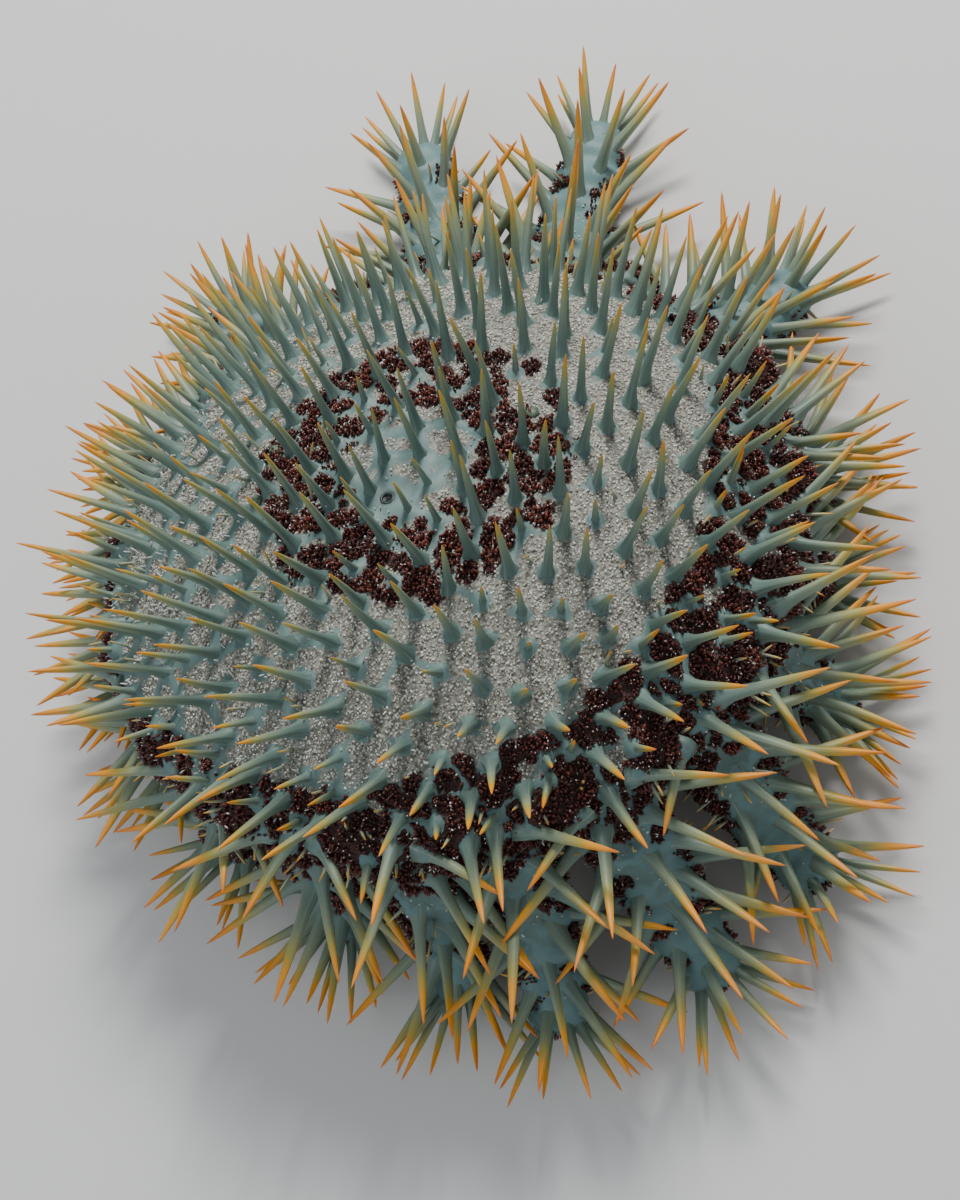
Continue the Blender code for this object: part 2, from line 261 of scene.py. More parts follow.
# %% Dome
GAP = 0.3 * MM
DISC_ARC = 118 * MM
LEAN = math.radians(11)
LEAN_TOWARDS = math.radians(63)
RIM_SLOPE = math.radians(48)
DOME_POWER = 1.7
DOME_STEPS = 60
RIM_DEPTH = 23 * MM
UNDER_RADIUS = 50 * MM
UNDER_SINK = 5 * MM
MOUTH_RADIUS = 15 * MM
MOUTH_DEPTH = 4 * MM

mouth_spots = np.array([tuple(vert.co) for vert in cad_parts["mouth"].data.vertices])
mouth_middle = np.unique(np.round(mouth_spots, 6), axis=0).mean(axis=0)
AXIS = np.array((
    math.sin(LEAN) * math.cos(LEAN_TOWARDS), math.sin(LEAN) * math.sin(LEAN_TOWARDS), math.cos(LEAN)
))
POLE = mouth_middle + AXIS * (DISC_TOP - mouth_middle[2]) / AXIS[2]
UNDER_POLE = np.array((POLE[0], POLE[1], 0))
LEAN_TURN = np.array(Matrix.Rotation(LEAN, 3, (-math.sin(LEAN_TOWARDS), math.cos(LEAN_TOWARDS), 0)))

slopes = RIM_SLOPE * ((np.arange(DOME_STEPS) + 0.5) / DOME_STEPS) ** DOME_POWER
PROFILE_RADIUS = np.concatenate(((0,), np.cumsum(np.cos(slopes)))) * DISC_ARC / DOME_STEPS
PROFILE_HEIGHT = -np.concatenate(((0,), np.cumsum(np.sin(slopes)))) * DISC_ARC / DOME_STEPS
PROFILE_FRACTION = np.arange(DOME_STEPS + 1) / DOME_STEPS
RIM_RADIUS = PROFILE_RADIUS[-1]
RIM_HEIGHT = PROFILE_HEIGHT[-1]
FOOT_RADIUS = RIM_RADIUS - RIM_DEPTH * math.sin(RIM_SLOPE)
FOOT_HEIGHT = RIM_HEIGHT - RIM_DEPTH * math.cos(RIM_SLOPE)
UNDER_HEIGHT = FOOT_HEIGHT - UNDER_SINK
print("pole", POLE.round(4), "rim radius", round(RIM_RADIUS, 4))


def around(azimuth, radius, height):
    flat = (radius * np.cos(azimuth), radius * np.sin(azimuth), height + 0 * azimuth)
    return np.stack(np.broadcast_arrays(*flat), -1)


def on_dome(azimuth, radius, height):
    return around(azimuth, radius, height) @ LEAN_TURN.T + POLE


def dome_place(fraction, azimuth):
    """A place on the disc's skin and the way that the skin faces there."""
    radius = np.interp(fraction, PROFILE_FRACTION, PROFILE_RADIUS)
    height = np.interp(fraction, PROFILE_FRACTION, PROFILE_HEIGHT)
    slope = RIM_SLOPE * fraction ** DOME_POWER
    facing = around(azimuth, np.sin(slope), np.cos(slope)) @ LEAN_TURN.T
    return on_dome(azimuth, radius, height), facing


def dome_coordinates(places):
    """How far out from the pole, 1 at the rim, which way round, and how far below the dome's skin."""
    local = (places - POLE) @ LEAN_TURN
    radius = np.hypot(local[:, 0], local[:, 1])
    fraction = np.interp(radius, PROFILE_RADIUS, PROFILE_FRACTION)
    fraction += np.maximum(radius - RIM_RADIUS, 0) / DISC_ARC
    depth = np.interp(radius, PROFILE_RADIUS, PROFILE_HEIGHT) - local[:, 2]
    return fraction, np.arctan2(local[:, 1], local[:, 0]), depth


# %% Arms
ARMS = (
    (14, 146), (45, 175), (64, 172), (98, 148), (120, 134), (138, 127), (157, 124), (177, 123), (199, 125),
    (219, 132), (236, 147), (252, 161), (269, 166), (287, 160), (304, 136), (322, 118), (344, 120),
)
ARM_SEED = 17
ARM_TURN_VARIES = math.radians(4)
ARM_WIDTH = 33 * MM
ARM_TIP_WIDTH = 12 * MM
ARM_TIP_DEPTH = 8.5 * MM
ARM_TIP_HEIGHT = 8.5 * MM
ARM_TIP_DROP = 0.05
ARM_HANDLE = 26 * MM
ARM_HANDLE_SHARE = 0.36
DEPTH_POWER = 0.8
SECTION_POWER = 0.8


class Arm:
    """The course of one arm from the disc's rim to its tip on the floor."""

    def __init__(self, azimuth, reach, before, after, chance):
        self.azimuth = azimuth
        self.after = after
        turn = chance.uniform(-1, 1) * ARM_TURN_VARIES
        radius = (RIM_RADIUS + FOOT_RADIUS) / 2
        self.outward = around(azimuth, math.cos(RIM_SLOPE), -math.sin(RIM_SLOPE)) @ LEAN_TURN.T
        start = on_dome(azimuth, radius, (RIM_HEIGHT + FOOT_HEIGHT) / 2) + self.outward * GAP
        tip_azimuth = math.atan2(start[1] - POLE[1], start[0] - POLE[0]) + turn
        tip = UNDER_POLE + around(tip_azimuth, reach, ARM_TIP_HEIGHT)
        run = around(tip_azimuth + 2 * turn, 1, -ARM_TIP_DROP)
        handle = min(ARM_HANDLE, np.linalg.norm(tip - start) * ARM_HANDLE_SHARE)
        self.points = np.array((start, start + self.outward * handle, tip - run * handle, tip))
        room = min(math.tan(before), math.tan(after)) * radius * 2 - 2 * GAP
        self.width = min(ARM_WIDTH, room)

    def place(self, t):
        t = np.asarray(t, float)[..., None]
        s = 1 - t
        a, b, c, d = self.points
        return a * s ** 3 + b * 3 * s * s * t + c * 3 * s * t * t + d * t ** 3

    def frame(self, t):
        """Unit vectors along the arm, across it, and out of its back."""
        t = np.asarray(t, float)[..., None]
        s = 1 - t
        a, b, c, d = self.points
        along = (b - a) * s * s + (c - b) * 2 * s * t + (d - c) * t * t
        along /= np.linalg.norm(along, axis=-1, keepdims=True)
        across = np.cross((0, 0, 1), along)
        across /= np.linalg.norm(across, axis=-1, keepdims=True)
        return along, across, np.cross(along, across)

    def size(self, t):
        """Half the width and half the depth of the flesh."""
        t = np.clip(t, 0, 1)
        width = self.width + (ARM_TIP_WIDTH - self.width) * t
        depth = RIM_DEPTH + (ARM_TIP_DEPTH - RIM_DEPTH) * t ** DEPTH_POWER
        return width / 2, depth / 2

    def surface(self, t, angle, shrink=1.0):
        """A place on the skin at an angle from the back, and the way out of it."""
        _, across, back = self.frame(t)
        wide, deep = self.size(t)
        x, y = np.sin(angle), np.cos(angle)
        aside = (np.sign(x) * np.abs(x) ** SECTION_POWER * wide * shrink)[..., None]
        above = (np.sign(y) * np.abs(y) ** SECTION_POWER * deep * shrink)[..., None]
        facing = across * x[..., None] + back * y[..., None]
        return self.place(t) + across * aside + back * above, facing


def make_arms():
    chance = random.Random(ARM_SEED)
    made = []
    for k, (here, reach) in enumerate(ARMS):
        before = math.radians((here - ARMS[k - 1][0]) % 360) / 2
        after = math.radians((ARMS[(k + 1) % len(ARMS)][0] - here) % 360) / 2
        made.append(Arm(math.radians(here), reach * MM, before, after, chance))
    return made


arms = make_arms()
print("arm widths in mm:", [round(arm.width / MM, 1) for arm in arms])

# %% [markdown]
# ## One skin
# On the animal no seam divides disc and arms. The dome is drawn as a real modeller would:
# a flat ring is extruded up the profile, ring by ring. One tube is extruded for an arm and
# copied along every course. Small webs fill the forks. A voxel remesh then melts them into
# a single closed surface, and a smooth modifier takes the steps out of it.


# %% Helpers for modelling
def activate(item):
    bpy.ops.object.select_all(action="DESELECT")
    item.select_set(True)
    bpy.context.view_layer.objects.active = item


def apply_modifier(item, name, kind, **settings):
    activate(item)
    modifier = item.modifiers.new(name, kind)
    for key, value in settings.items():
        setattr(modifier, key, value)
    bpy.ops.object.modifier_apply(modifier=modifier.name)


def extrude_rings(name, sides, rings):
    """A closed turned body: a flat ring is extruded along z and resized, ring by ring."""
    radius, height = rings[0]
    low = (0, 0, height)
    bpy.ops.mesh.primitive_circle_add(vertices=sides, radius=radius, fill_type="NGON", location=low)
    item = bpy.context.object
    item.name = name
    bpy.ops.object.transform_apply(location=True)
    bpy.ops.object.mode_set(mode="EDIT")
    bpy.ops.mesh.select_all(action="SELECT")
    for new_radius, new_height in rings[1:]:
        bpy.ops.mesh.extrude_region_move(TRANSFORM_OT_translate={"value": (0, 0, new_height - height)})
        share = new_radius / radius
        bpy.ops.transform.resize(value=(share, share, 1), center_override=(0, 0, new_height))
        radius, height = new_radius, new_height
    bpy.ops.mesh.select_all(action="SELECT")
    bpy.ops.mesh.normals_make_consistent(inside=False)
    bpy.ops.object.mode_set(mode="OBJECT")
    return item


def spots(item, key="co"):
    """The places of an item's points, or with the key normal the way each one faces."""
    found = np.empty(len(item.data.vertices) * 3)
    item.data.vertices.foreach_get(key, found)
    return found.reshape(-1, 3)


def move_spots(item, places):
    item.data.vertices.foreach_set("co", np.asarray(places, float).ravel())
    item.data.update()


def shade_smooth(item):
    item.data.polygons.foreach_set("use_smooth", np.ones(len(item.data.polygons), bool))


# %% Dome and arm tubes
DISC_SIDES = 96
DISC_RINGS = 24
ARM_SIDES = 24
ARM_STATIONS = 26
ARM_ROOT_SINK = 0.12
ARM_END_FROM = 0.86
ARM_END_POWER = 2.4
ARM_END_RADIUS = 0.05
ARM_END_AT = 0.99
GROOVE_DEPTH = 2.4 * MM
GROOVE_HALF_WIDTH = 0.5

rings = [(MOUTH_RADIUS, UNDER_HEIGHT + MOUTH_DEPTH), (MOUTH_RADIUS, UNDER_HEIGHT)]
rings += [(UNDER_RADIUS, UNDER_HEIGHT), (FOOT_RADIUS, FOOT_HEIGHT)]
for k in range(DISC_RINGS, 0, -1):
    row = round(k / DISC_RINGS * DOME_STEPS)
    rings.append((PROFILE_RADIUS[row], PROFILE_HEIGHT[row]))
rings.append((1 * MM, 0))
disc_shell = extrude_rings("disc_shell", DISC_SIDES, rings)
move_spots(disc_shell, spots(disc_shell) @ LEAN_TURN.T + POLE)

tube_rings = [(1, -ARM_ROOT_SINK), (1, 0)]
for k in range(1, ARM_STATIONS + 1):
    t = k / ARM_STATIONS
    into_end = max(0, (t - ARM_END_FROM) / (1 - ARM_END_FROM))
    radius = math.sqrt(max(0, 1 - into_end ** ARM_END_POWER))
    tube_rings.append((max(ARM_END_RADIUS, radius), t * ARM_END_AT))
arm_tube = extrude_rings("arm_tube", ARM_SIDES, tube_rings)


def arm_places(arm, unit):
    """Maps the unit tube onto one arm, with the groove for the tube feet below."""
    x, y, t = unit.T
    angle, shrink = np.arctan2(x, y), np.hypot(x, y)
    held = np.maximum(t, 0)
    places, _ = arm.surface(held, angle, shrink)
    inside = np.minimum(t, 0)[:, None] * np.linalg.norm(arm.points[3] - arm.points[0])
    _, _, back = arm.frame(held)
    groove = np.exp(-((np.pi - np.abs(angle)) / GROOVE_HALF_WIDTH) ** 2) * GROOVE_DEPTH * (1 - 0.5 * held)
    return places + arm.outward * inside + back * (groove * (shrink > 0.5))[:, None]


def copy_of(item, name, places):
    mesh = item.data.copy()
    copied = bpy.data.objects.new(name, mesh)
    bpy.context.scene.collection.objects.link(copied)
    move_spots(copied, places)
    return copied


unit_tube = spots(arm_tube)
shells = [copy_of(arm_tube, f"tube_{k:02d}", arm_places(arm, unit_tube)) for k, arm in enumerate(arms)]
bpy.data.objects.remove(arm_tube)
print("tubes:", len(shells))

# %% Webs in the forks between arms
WEB_RADIUS = 13 * MM
WEB_OUT = 1.5 * MM
WEB_OF_RIM, WEB_OF_FOOT = 0.55, 0.45
bpy.ops.mesh.primitive_uv_sphere_add(segments=16, ring_count=10, radius=1)
web_ball = bpy.context.object
unit_ball = spots(web_ball)
for k, arm in enumerate(arms):
    fork = arm.azimuth + arm.after
    stretch = 1 / math.cos(arm.after)
    radius = (RIM_RADIUS * WEB_OF_RIM + FOOT_RADIUS * WEB_OF_FOOT) * stretch
    middle = on_dome(fork, radius, RIM_HEIGHT * WEB_OF_RIM + FOOT_HEIGHT * WEB_OF_FOOT)
    outward = around(fork, math.cos(RIM_SLOPE), -math.sin(RIM_SLOPE)) @ LEAN_TURN.T
    shells.append(copy_of(web_ball, f"web_{k:02d}", unit_ball * WEB_RADIUS + middle + outward * WEB_OUT))
bpy.data.objects.remove(web_ball)

# %% Melt them into one surface
VOXEL = 1.6 * MM
activate(disc_shell)
for shell in shells:
    shell.select_set(True)
bpy.ops.object.join()
skin = disc_shell
skin.name = "starfish_skin"
skin.data.name = "starfish_skin"
apply_modifier(skin, "melt", "REMESH", mode="VOXEL", voxel_size=VOXEL)
apply_modifier(skin, "smooth", "SMOOTH", factor=0.5, iterations=4)
print("skin vertices:", len(skin.data.vertices), "faces:", len(skin.data.polygons))

# %% [markdown]
# ## Where the thorns stand
# Thorns cover the back in a quincunx, like seeds in a sunflower head, longer towards the rim.
# On each arm they stand in staggered rows, and a fan of them guards the tip.
# Their roots are found first, because the skin swells up round each one and ridges join them.


# %% Nearest places
def tree_of(item):
    places = [tuple(vert.co) for vert in item.data.vertices]
    return BVHTree.FromPolygons(places, [tuple(polygon.vertices) for polygon in item.data.polygons])


def point_tree(points):
    tree = KDTree(len(points))
    for k, point in enumerate(points):
        tree.insert(point, k)
    tree.balance()
    return tree


skin_tree = tree_of(skin)


def on_skin(place):
    spot, normal, _, _ = skin_tree.find_nearest(Vector(place))
    return np.array(spot), np.array(normal)


# %% [markdown]
# ## Zones of the back
# Red clusters lie in a ring round the middle and in a belt along the rim. Both are given as
# shares of the way from the pole to the rim, and the belt's edge changes round the animal.

# %% Zones of the back
RING_FROM, RING_TO = 0.19, 0.42
BELT_FROM = (
    (0, 0.86), (30, 0.93), (60, 0.97), (100, 1.0), (130, 1.05), (165, 1.04), (190, 0.97),
    (210, 0.93), (240, 0.87), (270, 0.84), (300, 0.80), (330, 0.78), (360, 0.86),
)
BELT_EDGE = 0.04


def by_azimuth(rows, turned):
    """A value that changes round the animal, from rows of degrees and value."""
    return np.interp(np.degrees(turned) % 360, [row[0] for row in rows], [row[1] for row in rows])


def belt_from(turned):
    return by_azimuth(BELT_FROM, turned)


print("the belt starts at", belt_from(0.0), "of the way to the rim at +X")

# %% Setting one thorn
WEB_SIDE = math.radians(165)
FLOOR_ROOM = 0.6 * MM
THORN_SAMPLES = np.linspace(0.15, 1, 9)
THORN_ROOM = 3.0 * MM
THORN_SKIN_ROOM = 3.2 * MM
THORN_SHARES = (1.0, 0.85, 0.7, 0.5)
THORN_LEANS = (0, 0.35, 0.7)
CLOSE_THORNS = 90
disc_thorn_count = 0
taken_points = []
thorns = []


def unit(vector):
    return vector / np.linalg.norm(vector)


def web_side(azimuth):
    """1 on the side of the back where the net is strongest, 0 on the far side."""
    return np.maximum(0, np.cos(azimuth - WEB_SIDE))


def wobble(way, most):
    return unit(way + np.array([draw.gauss(0, 1) for _ in range(3)]) * most * 0.5)


def add_thorn(place, way, length, girth, warm):
    """Roots a thorn on the skin, turned or shortened where something is in its way."""
    root, normal = on_skin(place)
    for share in THORN_SHARES:
        for lean in THORN_LEANS:
            turned = unit(way * (1 - lean) + normal * lean)
            points = root + np.outer(THORN_SAMPLES, turned * length * share)
            if points[-1][2] < FLOOR_ROOM:
                continue
            if min(skin_tree.find_nearest(Vector(point))[3] for point in points[2:]) < THORN_SKIN_ROOM:
                continue
            if taken_points:
                others = np.array(taken_points[-CLOSE_THORNS:] + taken_points[:disc_thorn_count])
                gaps = np.linalg.norm(others[:, :, None] - points[None, None], axis=-1)
                if gaps.min() < THORN_ROOM:
                    continue
            thorns.append((root, turned, length * share, girth, warm, draw.random()))
            taken_points.append(points)
            return True
    return False


# %% Thorns of the disc
GOLDEN_TURN = math.pi * (3 - math.sqrt(5))
DISC_THORNS = 290
DISC_THORN_REACH = 0.985
DISC_SPLAY = 0.16
DISC_LENGTH = 28 * MM
RIM_LENGTH = 33 * MM
SMALL_THORNS = 0.2
BELT_THORNS = 46
BELT_THORN_TRIES = 12
BELT_THORN_ROOM = 7.2 * MM
BELT_LENGTH = (10, 19)
PORE = (0.125, math.radians(215))
SIEVES = ((0.34, math.radians(352)), (0.41, math.radians(133)), (0.43, math.radians(156)))
BARE_ROUND_PORE = 6.5 * MM

bare_spots = [dome_place(*spot)[0] for spot in (PORE, *SIEVES)]
for k in range(DISC_THORNS):
    fraction = DISC_THORN_REACH * math.sqrt((k + 0.5) / DISC_THORNS) + draw.uniform(-1, 1) * 0.012
    azimuth = k * GOLDEN_TURN + draw.uniform(-1, 1) * 0.02
    place, facing = dome_place(max(fraction, 0.01), azimuth)
    if min(np.linalg.norm(place - spot) for spot in bare_spots) < BARE_ROUND_PORE * 0.8:
        continue
    length = DISC_LENGTH + (RIM_LENGTH - DISC_LENGTH) * fraction ** 2
    small = draw.random() < SMALL_THORNS
    length *= draw.uniform(0.42, 0.7) if small else draw.uniform(0.86, 1.1)
    outward = around(azimuth, 1, 0)
    way = wobble(unit(facing + outward * DISC_SPLAY * fraction), 0.12)
    warm = 0.05 + 0.75 * fraction ** 3 + 0.3 * web_side(azimuth) * fraction
    add_thorn(place, way, length, 0.85 if small else draw.uniform(0.86, 1.02), min(1.1, warm))
belt_thorn_count = 0
for _ in range(BELT_THORNS * BELT_THORN_TRIES):
    azimuth = draw.uniform(0, math.tau)
    fraction = draw.uniform(min(0.95, belt_from(azimuth) - BELT_EDGE), 1.0)
    place, facing = dome_place(fraction, azimuth)
    room = np.linalg.norm(np.array([thorn[0] for thorn in thorns]) - place, axis=1).min()
    if room > BELT_THORN_ROOM and belt_thorn_count < BELT_THORNS:
        way, length = wobble(facing, 0.3), draw.uniform(*BELT_LENGTH) * MM
        belt_thorn_count += add_thorn(place, way, length, 0.9, 0.9)
disc_thorn_count = len(thorns)
print("thorns on the disc:", disc_thorn_count, "of them small ones in the belt:", belt_thorn_count)

# %% Thorns of the arms
ARM_LENGTH = 36 * MM
TIP_LENGTH = 28 * MM
STRETCH = (
    (0, 1.13), (25, 1.1), (60, 1.04), (90, 1.0), (120, 0.94), (180, 0.94), (205, 1.0),
    (235, 1.1), (275, 1.16), (305, 1.1), (330, 1.0), (360, 1.13),
)
ARM_ROWS = 7
ARM_ROW_START = 0.05
ARM_ROW_SPACING = 0.135
ARM_ROW_ANGLES = ((-54, 0, 54), (-78, -27, 27, 78))
TIP_STATION = 0.95
TIP_ANGLES = (-100, -60, -20, 20, 60, 100)

for arm in arms:
    stretch = by_azimuth(STRETCH, arm.azimuth)
    for row in range(ARM_ROWS):
        t = ARM_ROW_START + row * ARM_ROW_SPACING
        for degrees in ARM_ROW_ANGLES[row % 2]:
            angle = math.radians(degrees + draw.uniform(-7, 7))
            at = t + draw.uniform(-0.025, 0.025)
            along, _, _ = arm.frame(at)
            place, facing = arm.surface(at, angle)
            way = facing + along * (0.3 + 0.6 * t)
            way[2] = max(way[2], 0.0)
            length = (ARM_LENGTH + (TIP_LENGTH - ARM_LENGTH) * t ** 2) * draw.uniform(0.82, 1.06)
            length *= stretch * (0.8 if t < 0.1 else 1.0)
            add_thorn(place, wobble(unit(way), 0.1), length, 1.12, 1.0)
    along, _, _ = arm.frame(TIP_STATION)
    for degrees in TIP_ANGLES:
        place, facing = arm.surface(TIP_STATION, math.radians(degrees))
        way = facing + along * 1.7
        way[2] = max(way[2], 0.03)
        way = wobble(unit(way), 0.08)
        add_thorn(place, way, TIP_LENGTH * stretch * draw.uniform(0.8, 1.05), 0.95, 1.0)
print("thorns on the arms:", len(thorns) - disc_thorn_count)

# %% [markdown]
# ## Swellings and ridges
# Skin climbs a little way up each thorn and stretches in low ridges to the next ones,
# so that the back looks like a net of blue-green stars. One field holds it:
# points along every ridge, each with a height. The skin rises towards the nearest of them,
# and the same field later tells the material where to be blue-green.

# %% Strength of the ridges
def rib_strength(fraction, azimuth):
    """The least and greatest strength of the ridges that start at a thorn of the disc."""
    if fraction > belt_from(azimuth) - BELT_EDGE:
        return 0.8, 1.0
    if fraction < RING_FROM:
        return 0.55, 1.0
    if fraction < RING_TO:
        return 0.25, 0.95
    side = web_side(azimuth) * min(1, fraction / 0.5)
    return 0.1 * side, 0.55 + 0.45 * side


# %% The web field
RIDGE_REACH = 19 * MM
RIDGE_STEP = 1.2 * MM
RIDGE_HALF_WIDTH = 1.9 * MM
BELT_RIDGE_HALF_WIDTH = 1.35 * MM
RIDGE_HEIGHT = 1.3 * MM
RIDGE_RUN = 7.5 * MM
ARM_RIDGE_GAIN = 1.9
SWELL_HEIGHT = 2.6 * MM
SWELL_RADIUS = 3.0 * MM
ARM_SWELL_RADIUS = (3.3 * MM, 5.0 * MM)
ARM_FREE_FROM = (1.04, 1.24)
ARM_SWELL_GAIN = 1.8
RIDGES_A_ROOT = 4

roots = np.array([thorn[0] for thorn in thorns])
root_tree = point_tree(roots)
root_fraction, root_azimuth, _ = dome_coordinates(roots)
root_swell = np.interp(root_fraction, ARM_FREE_FROM, ARM_SWELL_RADIUS)
root_swell[:disc_thorn_count] = SWELL_RADIUS
belt_edge = belt_from(root_azimuth) - BELT_EDGE
in_belt = (root_fraction > belt_edge) & (root_fraction < ARM_FREE_FROM[1])
root_half = np.where(in_belt, BELT_RIDGE_HALF_WIDTH, RIDGE_HALF_WIDTH)
ridge_points = []
for k, root in enumerate(roots):
    weakest, strongest = (0.5, 0.95)
    if k < disc_thorn_count:
        weakest, strongest = rib_strength(root_fraction[k], root_azimuth[k])
    near = [(far, i) for _, i, far in root_tree.find_n(root, RIDGES_A_ROOT + 1) if i != k]
    for far, i in near:
        if far > RIDGE_REACH or far < 2 * MM or i < k:
            continue
        count = max(2, round(far / RIDGE_STEP))
        floor_strength = draw.uniform(weakest, strongest)
        bow = np.array([draw.gauss(0, 1) for _ in range(3)]) * far * 0.07
        for j in range(count + 1):
            share = j / count
            run = min(share, 1 - share) * far
            strength = max(floor_strength, 1 - run / RIDGE_RUN)
            place = root + (roots[i] - root) * share + bow * 4 * share * (1 - share)
            ridge_points.append((place, strength, root_half[k]))
ridge_tree = point_tree([point[0] for point in ridge_points])
print("points along ridges:", len(ridge_points))


def web_at(place):
    """Ridge and swelling strength at a place on the skin."""
    ridge = 0.0
    for _, i, far in ridge_tree.find_n(place, 5):
        _, strength, half = ridge_points[i]
        ridge = max(ridge, strength * math.exp(-(far / half) ** 2))
    _, k, far = root_tree.find(place)
    return ridge, math.exp(-(far / root_swell[k]) ** 2)


def set_attribute(item, name, values, kind="FLOAT"):
    layer = item.data.attributes.new(name, kind, "POINT")
    key = "value" if kind == "FLOAT" else "vector"
    layer.data.foreach_set(key, np.asarray(values, float).ravel())


places = spots(skin)
facing = spots(skin, "normal")
field = np.array([web_at(place) for place in places])
ridge, swell = field[:, 0], field[:, 1]

# %% Which part of the body each point belongs to
ARM_STEPS = np.linspace(0, 1, 41)
SOLE_ANGLE = math.radians(118)
arm_samples = [(arm, t, place) for arm in arms for t, place in zip(ARM_STEPS, arm.place(ARM_STEPS))]
arm_tree = point_tree([sample[2] for sample in arm_samples])
fraction, azimuth, depth = dome_coordinates(places)
on_disc = (fraction < 1.02) & (depth < 6 * MM)
arm_t = np.zeros(len(places))
arm_angle = np.zeros(len(places))
for i, place in enumerate(places):
    arm, t, middle = arm_samples[arm_tree.find(place)[1]]
    _, across, back = arm.frame(t)
    offset = place - middle
    arm_t[i] = t
    arm_angle[i] = abs(math.atan2(offset @ across, offset @ back))
below = (~on_disc & (arm_angle > SOLE_ANGLE)) | (facing[:, 2] < -0.55)
print("points on the disc:", int(on_disc.sum()), "below:", int(below.sum()))

# %% [markdown]
# ## Clusters of breathing beads
# Between the thorns the animal breathes through soft dark red papulae. They crowd together
# in a ring round the middle of the back and in a broad belt round the rim, and run down
# the arms' sides. Each cluster is a small sunflower of beads, set down on the skin.

# %% Where the clusters lie
RIB_EDGE = 0.5
PATCHES_A_METRE = 75
RING_PATCH, BELT_PATCH = 0.24, 0.34
BARE_SIDE = ((0, 0.6), (20, 0.25), (110, 0.3), (180, 0.35), (205, 0.9), (300, 1.0), (360, 0.6))

belt = fraction > belt_from(azimuth)
ring = (fraction > RING_FROM) & (fraction < RING_TO)
side_zone = np.where(arm_t < 0.2, 1.0, np.clip(1.25 - arm_t, 0.2, 1)) * by_azimuth(BARE_SIDE, azimuth)
red_zone = np.where(on_disc, (ring | belt) * 1.0, side_zone)
red_zone[~on_disc & (arm_angle < math.radians(46)) & (arm_t > 0.2)] = 0
red_zone[below | (ridge > RIB_EDGE)] = 0
patchy = np.array([noise.noise(Vector(place) * PATCHES_A_METRE) for place in places])
red_zone[on_disc & (patchy > np.where(ring, RING_PATCH, BELT_PATCH))] = 0
print("points where clusters may lie:", int((red_zone > 0).sum()))

# %% Drop the clusters
CLUSTER_ROOM = 3.6 * MM
CELL = 8 * MM
clusters = []
order = list(range(len(places)))
draw.shuffle(order)
taken = {}


def cell_of(place):
    return tuple(int(value // CELL) for value in place)


def is_free(place, room):
    """Whether no cluster's middle lies closer, judged by the cells of space round the place."""
    for step in itertools.product((-1, 0, 1), repeat=3):
        cell = tuple(value + move for value, move in zip(cell_of(place), step))
        if any(np.linalg.norm(other - place) < room for other in taken.get(cell, ())):
            return False
    return True


def spread_clusters(smallest, largest, room, spacing):
    """Drops clusters at random where the zone is red, clear of thorns and of one another."""
    for i in order:
        if draw.random() > red_zone[i] or root_tree.find(places[i])[2] < room:
            continue
        size = draw.uniform(smallest, largest)
        if is_free(places[i], size * spacing):
            taken.setdefault(cell_of(places[i]), []).append(places[i])
            clusters.append((places[i], facing[i], size))


spread_clusters(3.0 * MM, 4.6 * MM, CLUSTER_ROOM, 1.9)
spread_clusters(1.8 * MM, 2.6 * MM, CLUSTER_ROOM * 0.9, 2.1)
print("clusters:", len(clusters))

# %% How red and how raised the skin is
cluster_tree = point_tree([cluster[0] for cluster in clusters])
red = np.zeros(len(places))
clump = np.zeros(len(places))
for i, place in enumerate(places):
    _, k, far = cluster_tree.find(place)
    red[i] = 1 - min(1, max(0, (far / clusters[k][2] - 0.75) / 0.5))
    clump[i] = max(0, 1 - (far / clusters[k][2]) ** 2)
belt_share = np.clip((fraction - belt_from(azimuth)) / 0.05, 0, 1) * (patchy < BELT_PATCH)
side_share = np.clip((arm_angle - math.radians(40)) / 0.5, 0, 1) * np.clip(1.3 - 1.3 * arm_t, 0, 1)
red = np.maximum(red, np.where(on_disc, belt_share, np.maximum(side_share, arm_t < 0.1)) * 0.85)
red[below] *= 0.2
print("share of the skin that is red:", round(float((red > 0.5).mean()), 2))

# %% Raise the skin and note the zones
CLUMP_RISE = 0.9 * MM
PORE_DIP = 2.0 * MM
PORE_DIP_RADIUS = 1.5 * MM
DISC_SMOOTHINGS, ARM_SMOOTHINGS = 1, 5


def smoothed(values, rounds):
    """Evens a value out between neighbouring points of the skin."""
    ends = np.empty(len(skin.data.edges) * 2, np.int32)
    skin.data.edges.foreach_get("vertices", ends)
    first, second = ends.reshape(-1, 2).T
    count = np.bincount(ends, minlength=len(values))
    for _ in range(rounds):
        total = np.bincount(first, values[second], len(values))
        total += np.bincount(second, values[first], len(values))
        values = 0.5 * values + 0.5 * total / count
    return values


pore_place = dome_place(*PORE)[0]
from_pore = np.linalg.norm(places - pore_place, axis=1)
ridge = np.maximum(ridge, np.clip(1.6 - from_pore / BARE_ROUND_PORE, 0, 1))
gain = np.where(on_disc, 1, ARM_RIDGE_GAIN)
swell_gain = np.where(on_disc, 1, ARM_SWELL_GAIN)
lift = np.maximum(ridge * RIDGE_HEIGHT * gain, swell * SWELL_HEIGHT * swell_gain)
lift = np.maximum(lift, clump * CLUMP_RISE)
lift *= np.where(below, 0.1, 1)
lift = np.where(on_disc, smoothed(lift, DISC_SMOOTHINGS), smoothed(lift, ARM_SMOOTHINGS))
lift -= np.exp(-(from_pore / PORE_DIP_RADIUS) ** 2) * PORE_DIP
move_spots(skin, places + facing * lift[:, None])
pale = 1 - np.clip((fraction - belt_from(azimuth)) / 0.06 + 0.5, 0, 1) * (patchy < BELT_PATCH)
pale[~on_disc] = 0
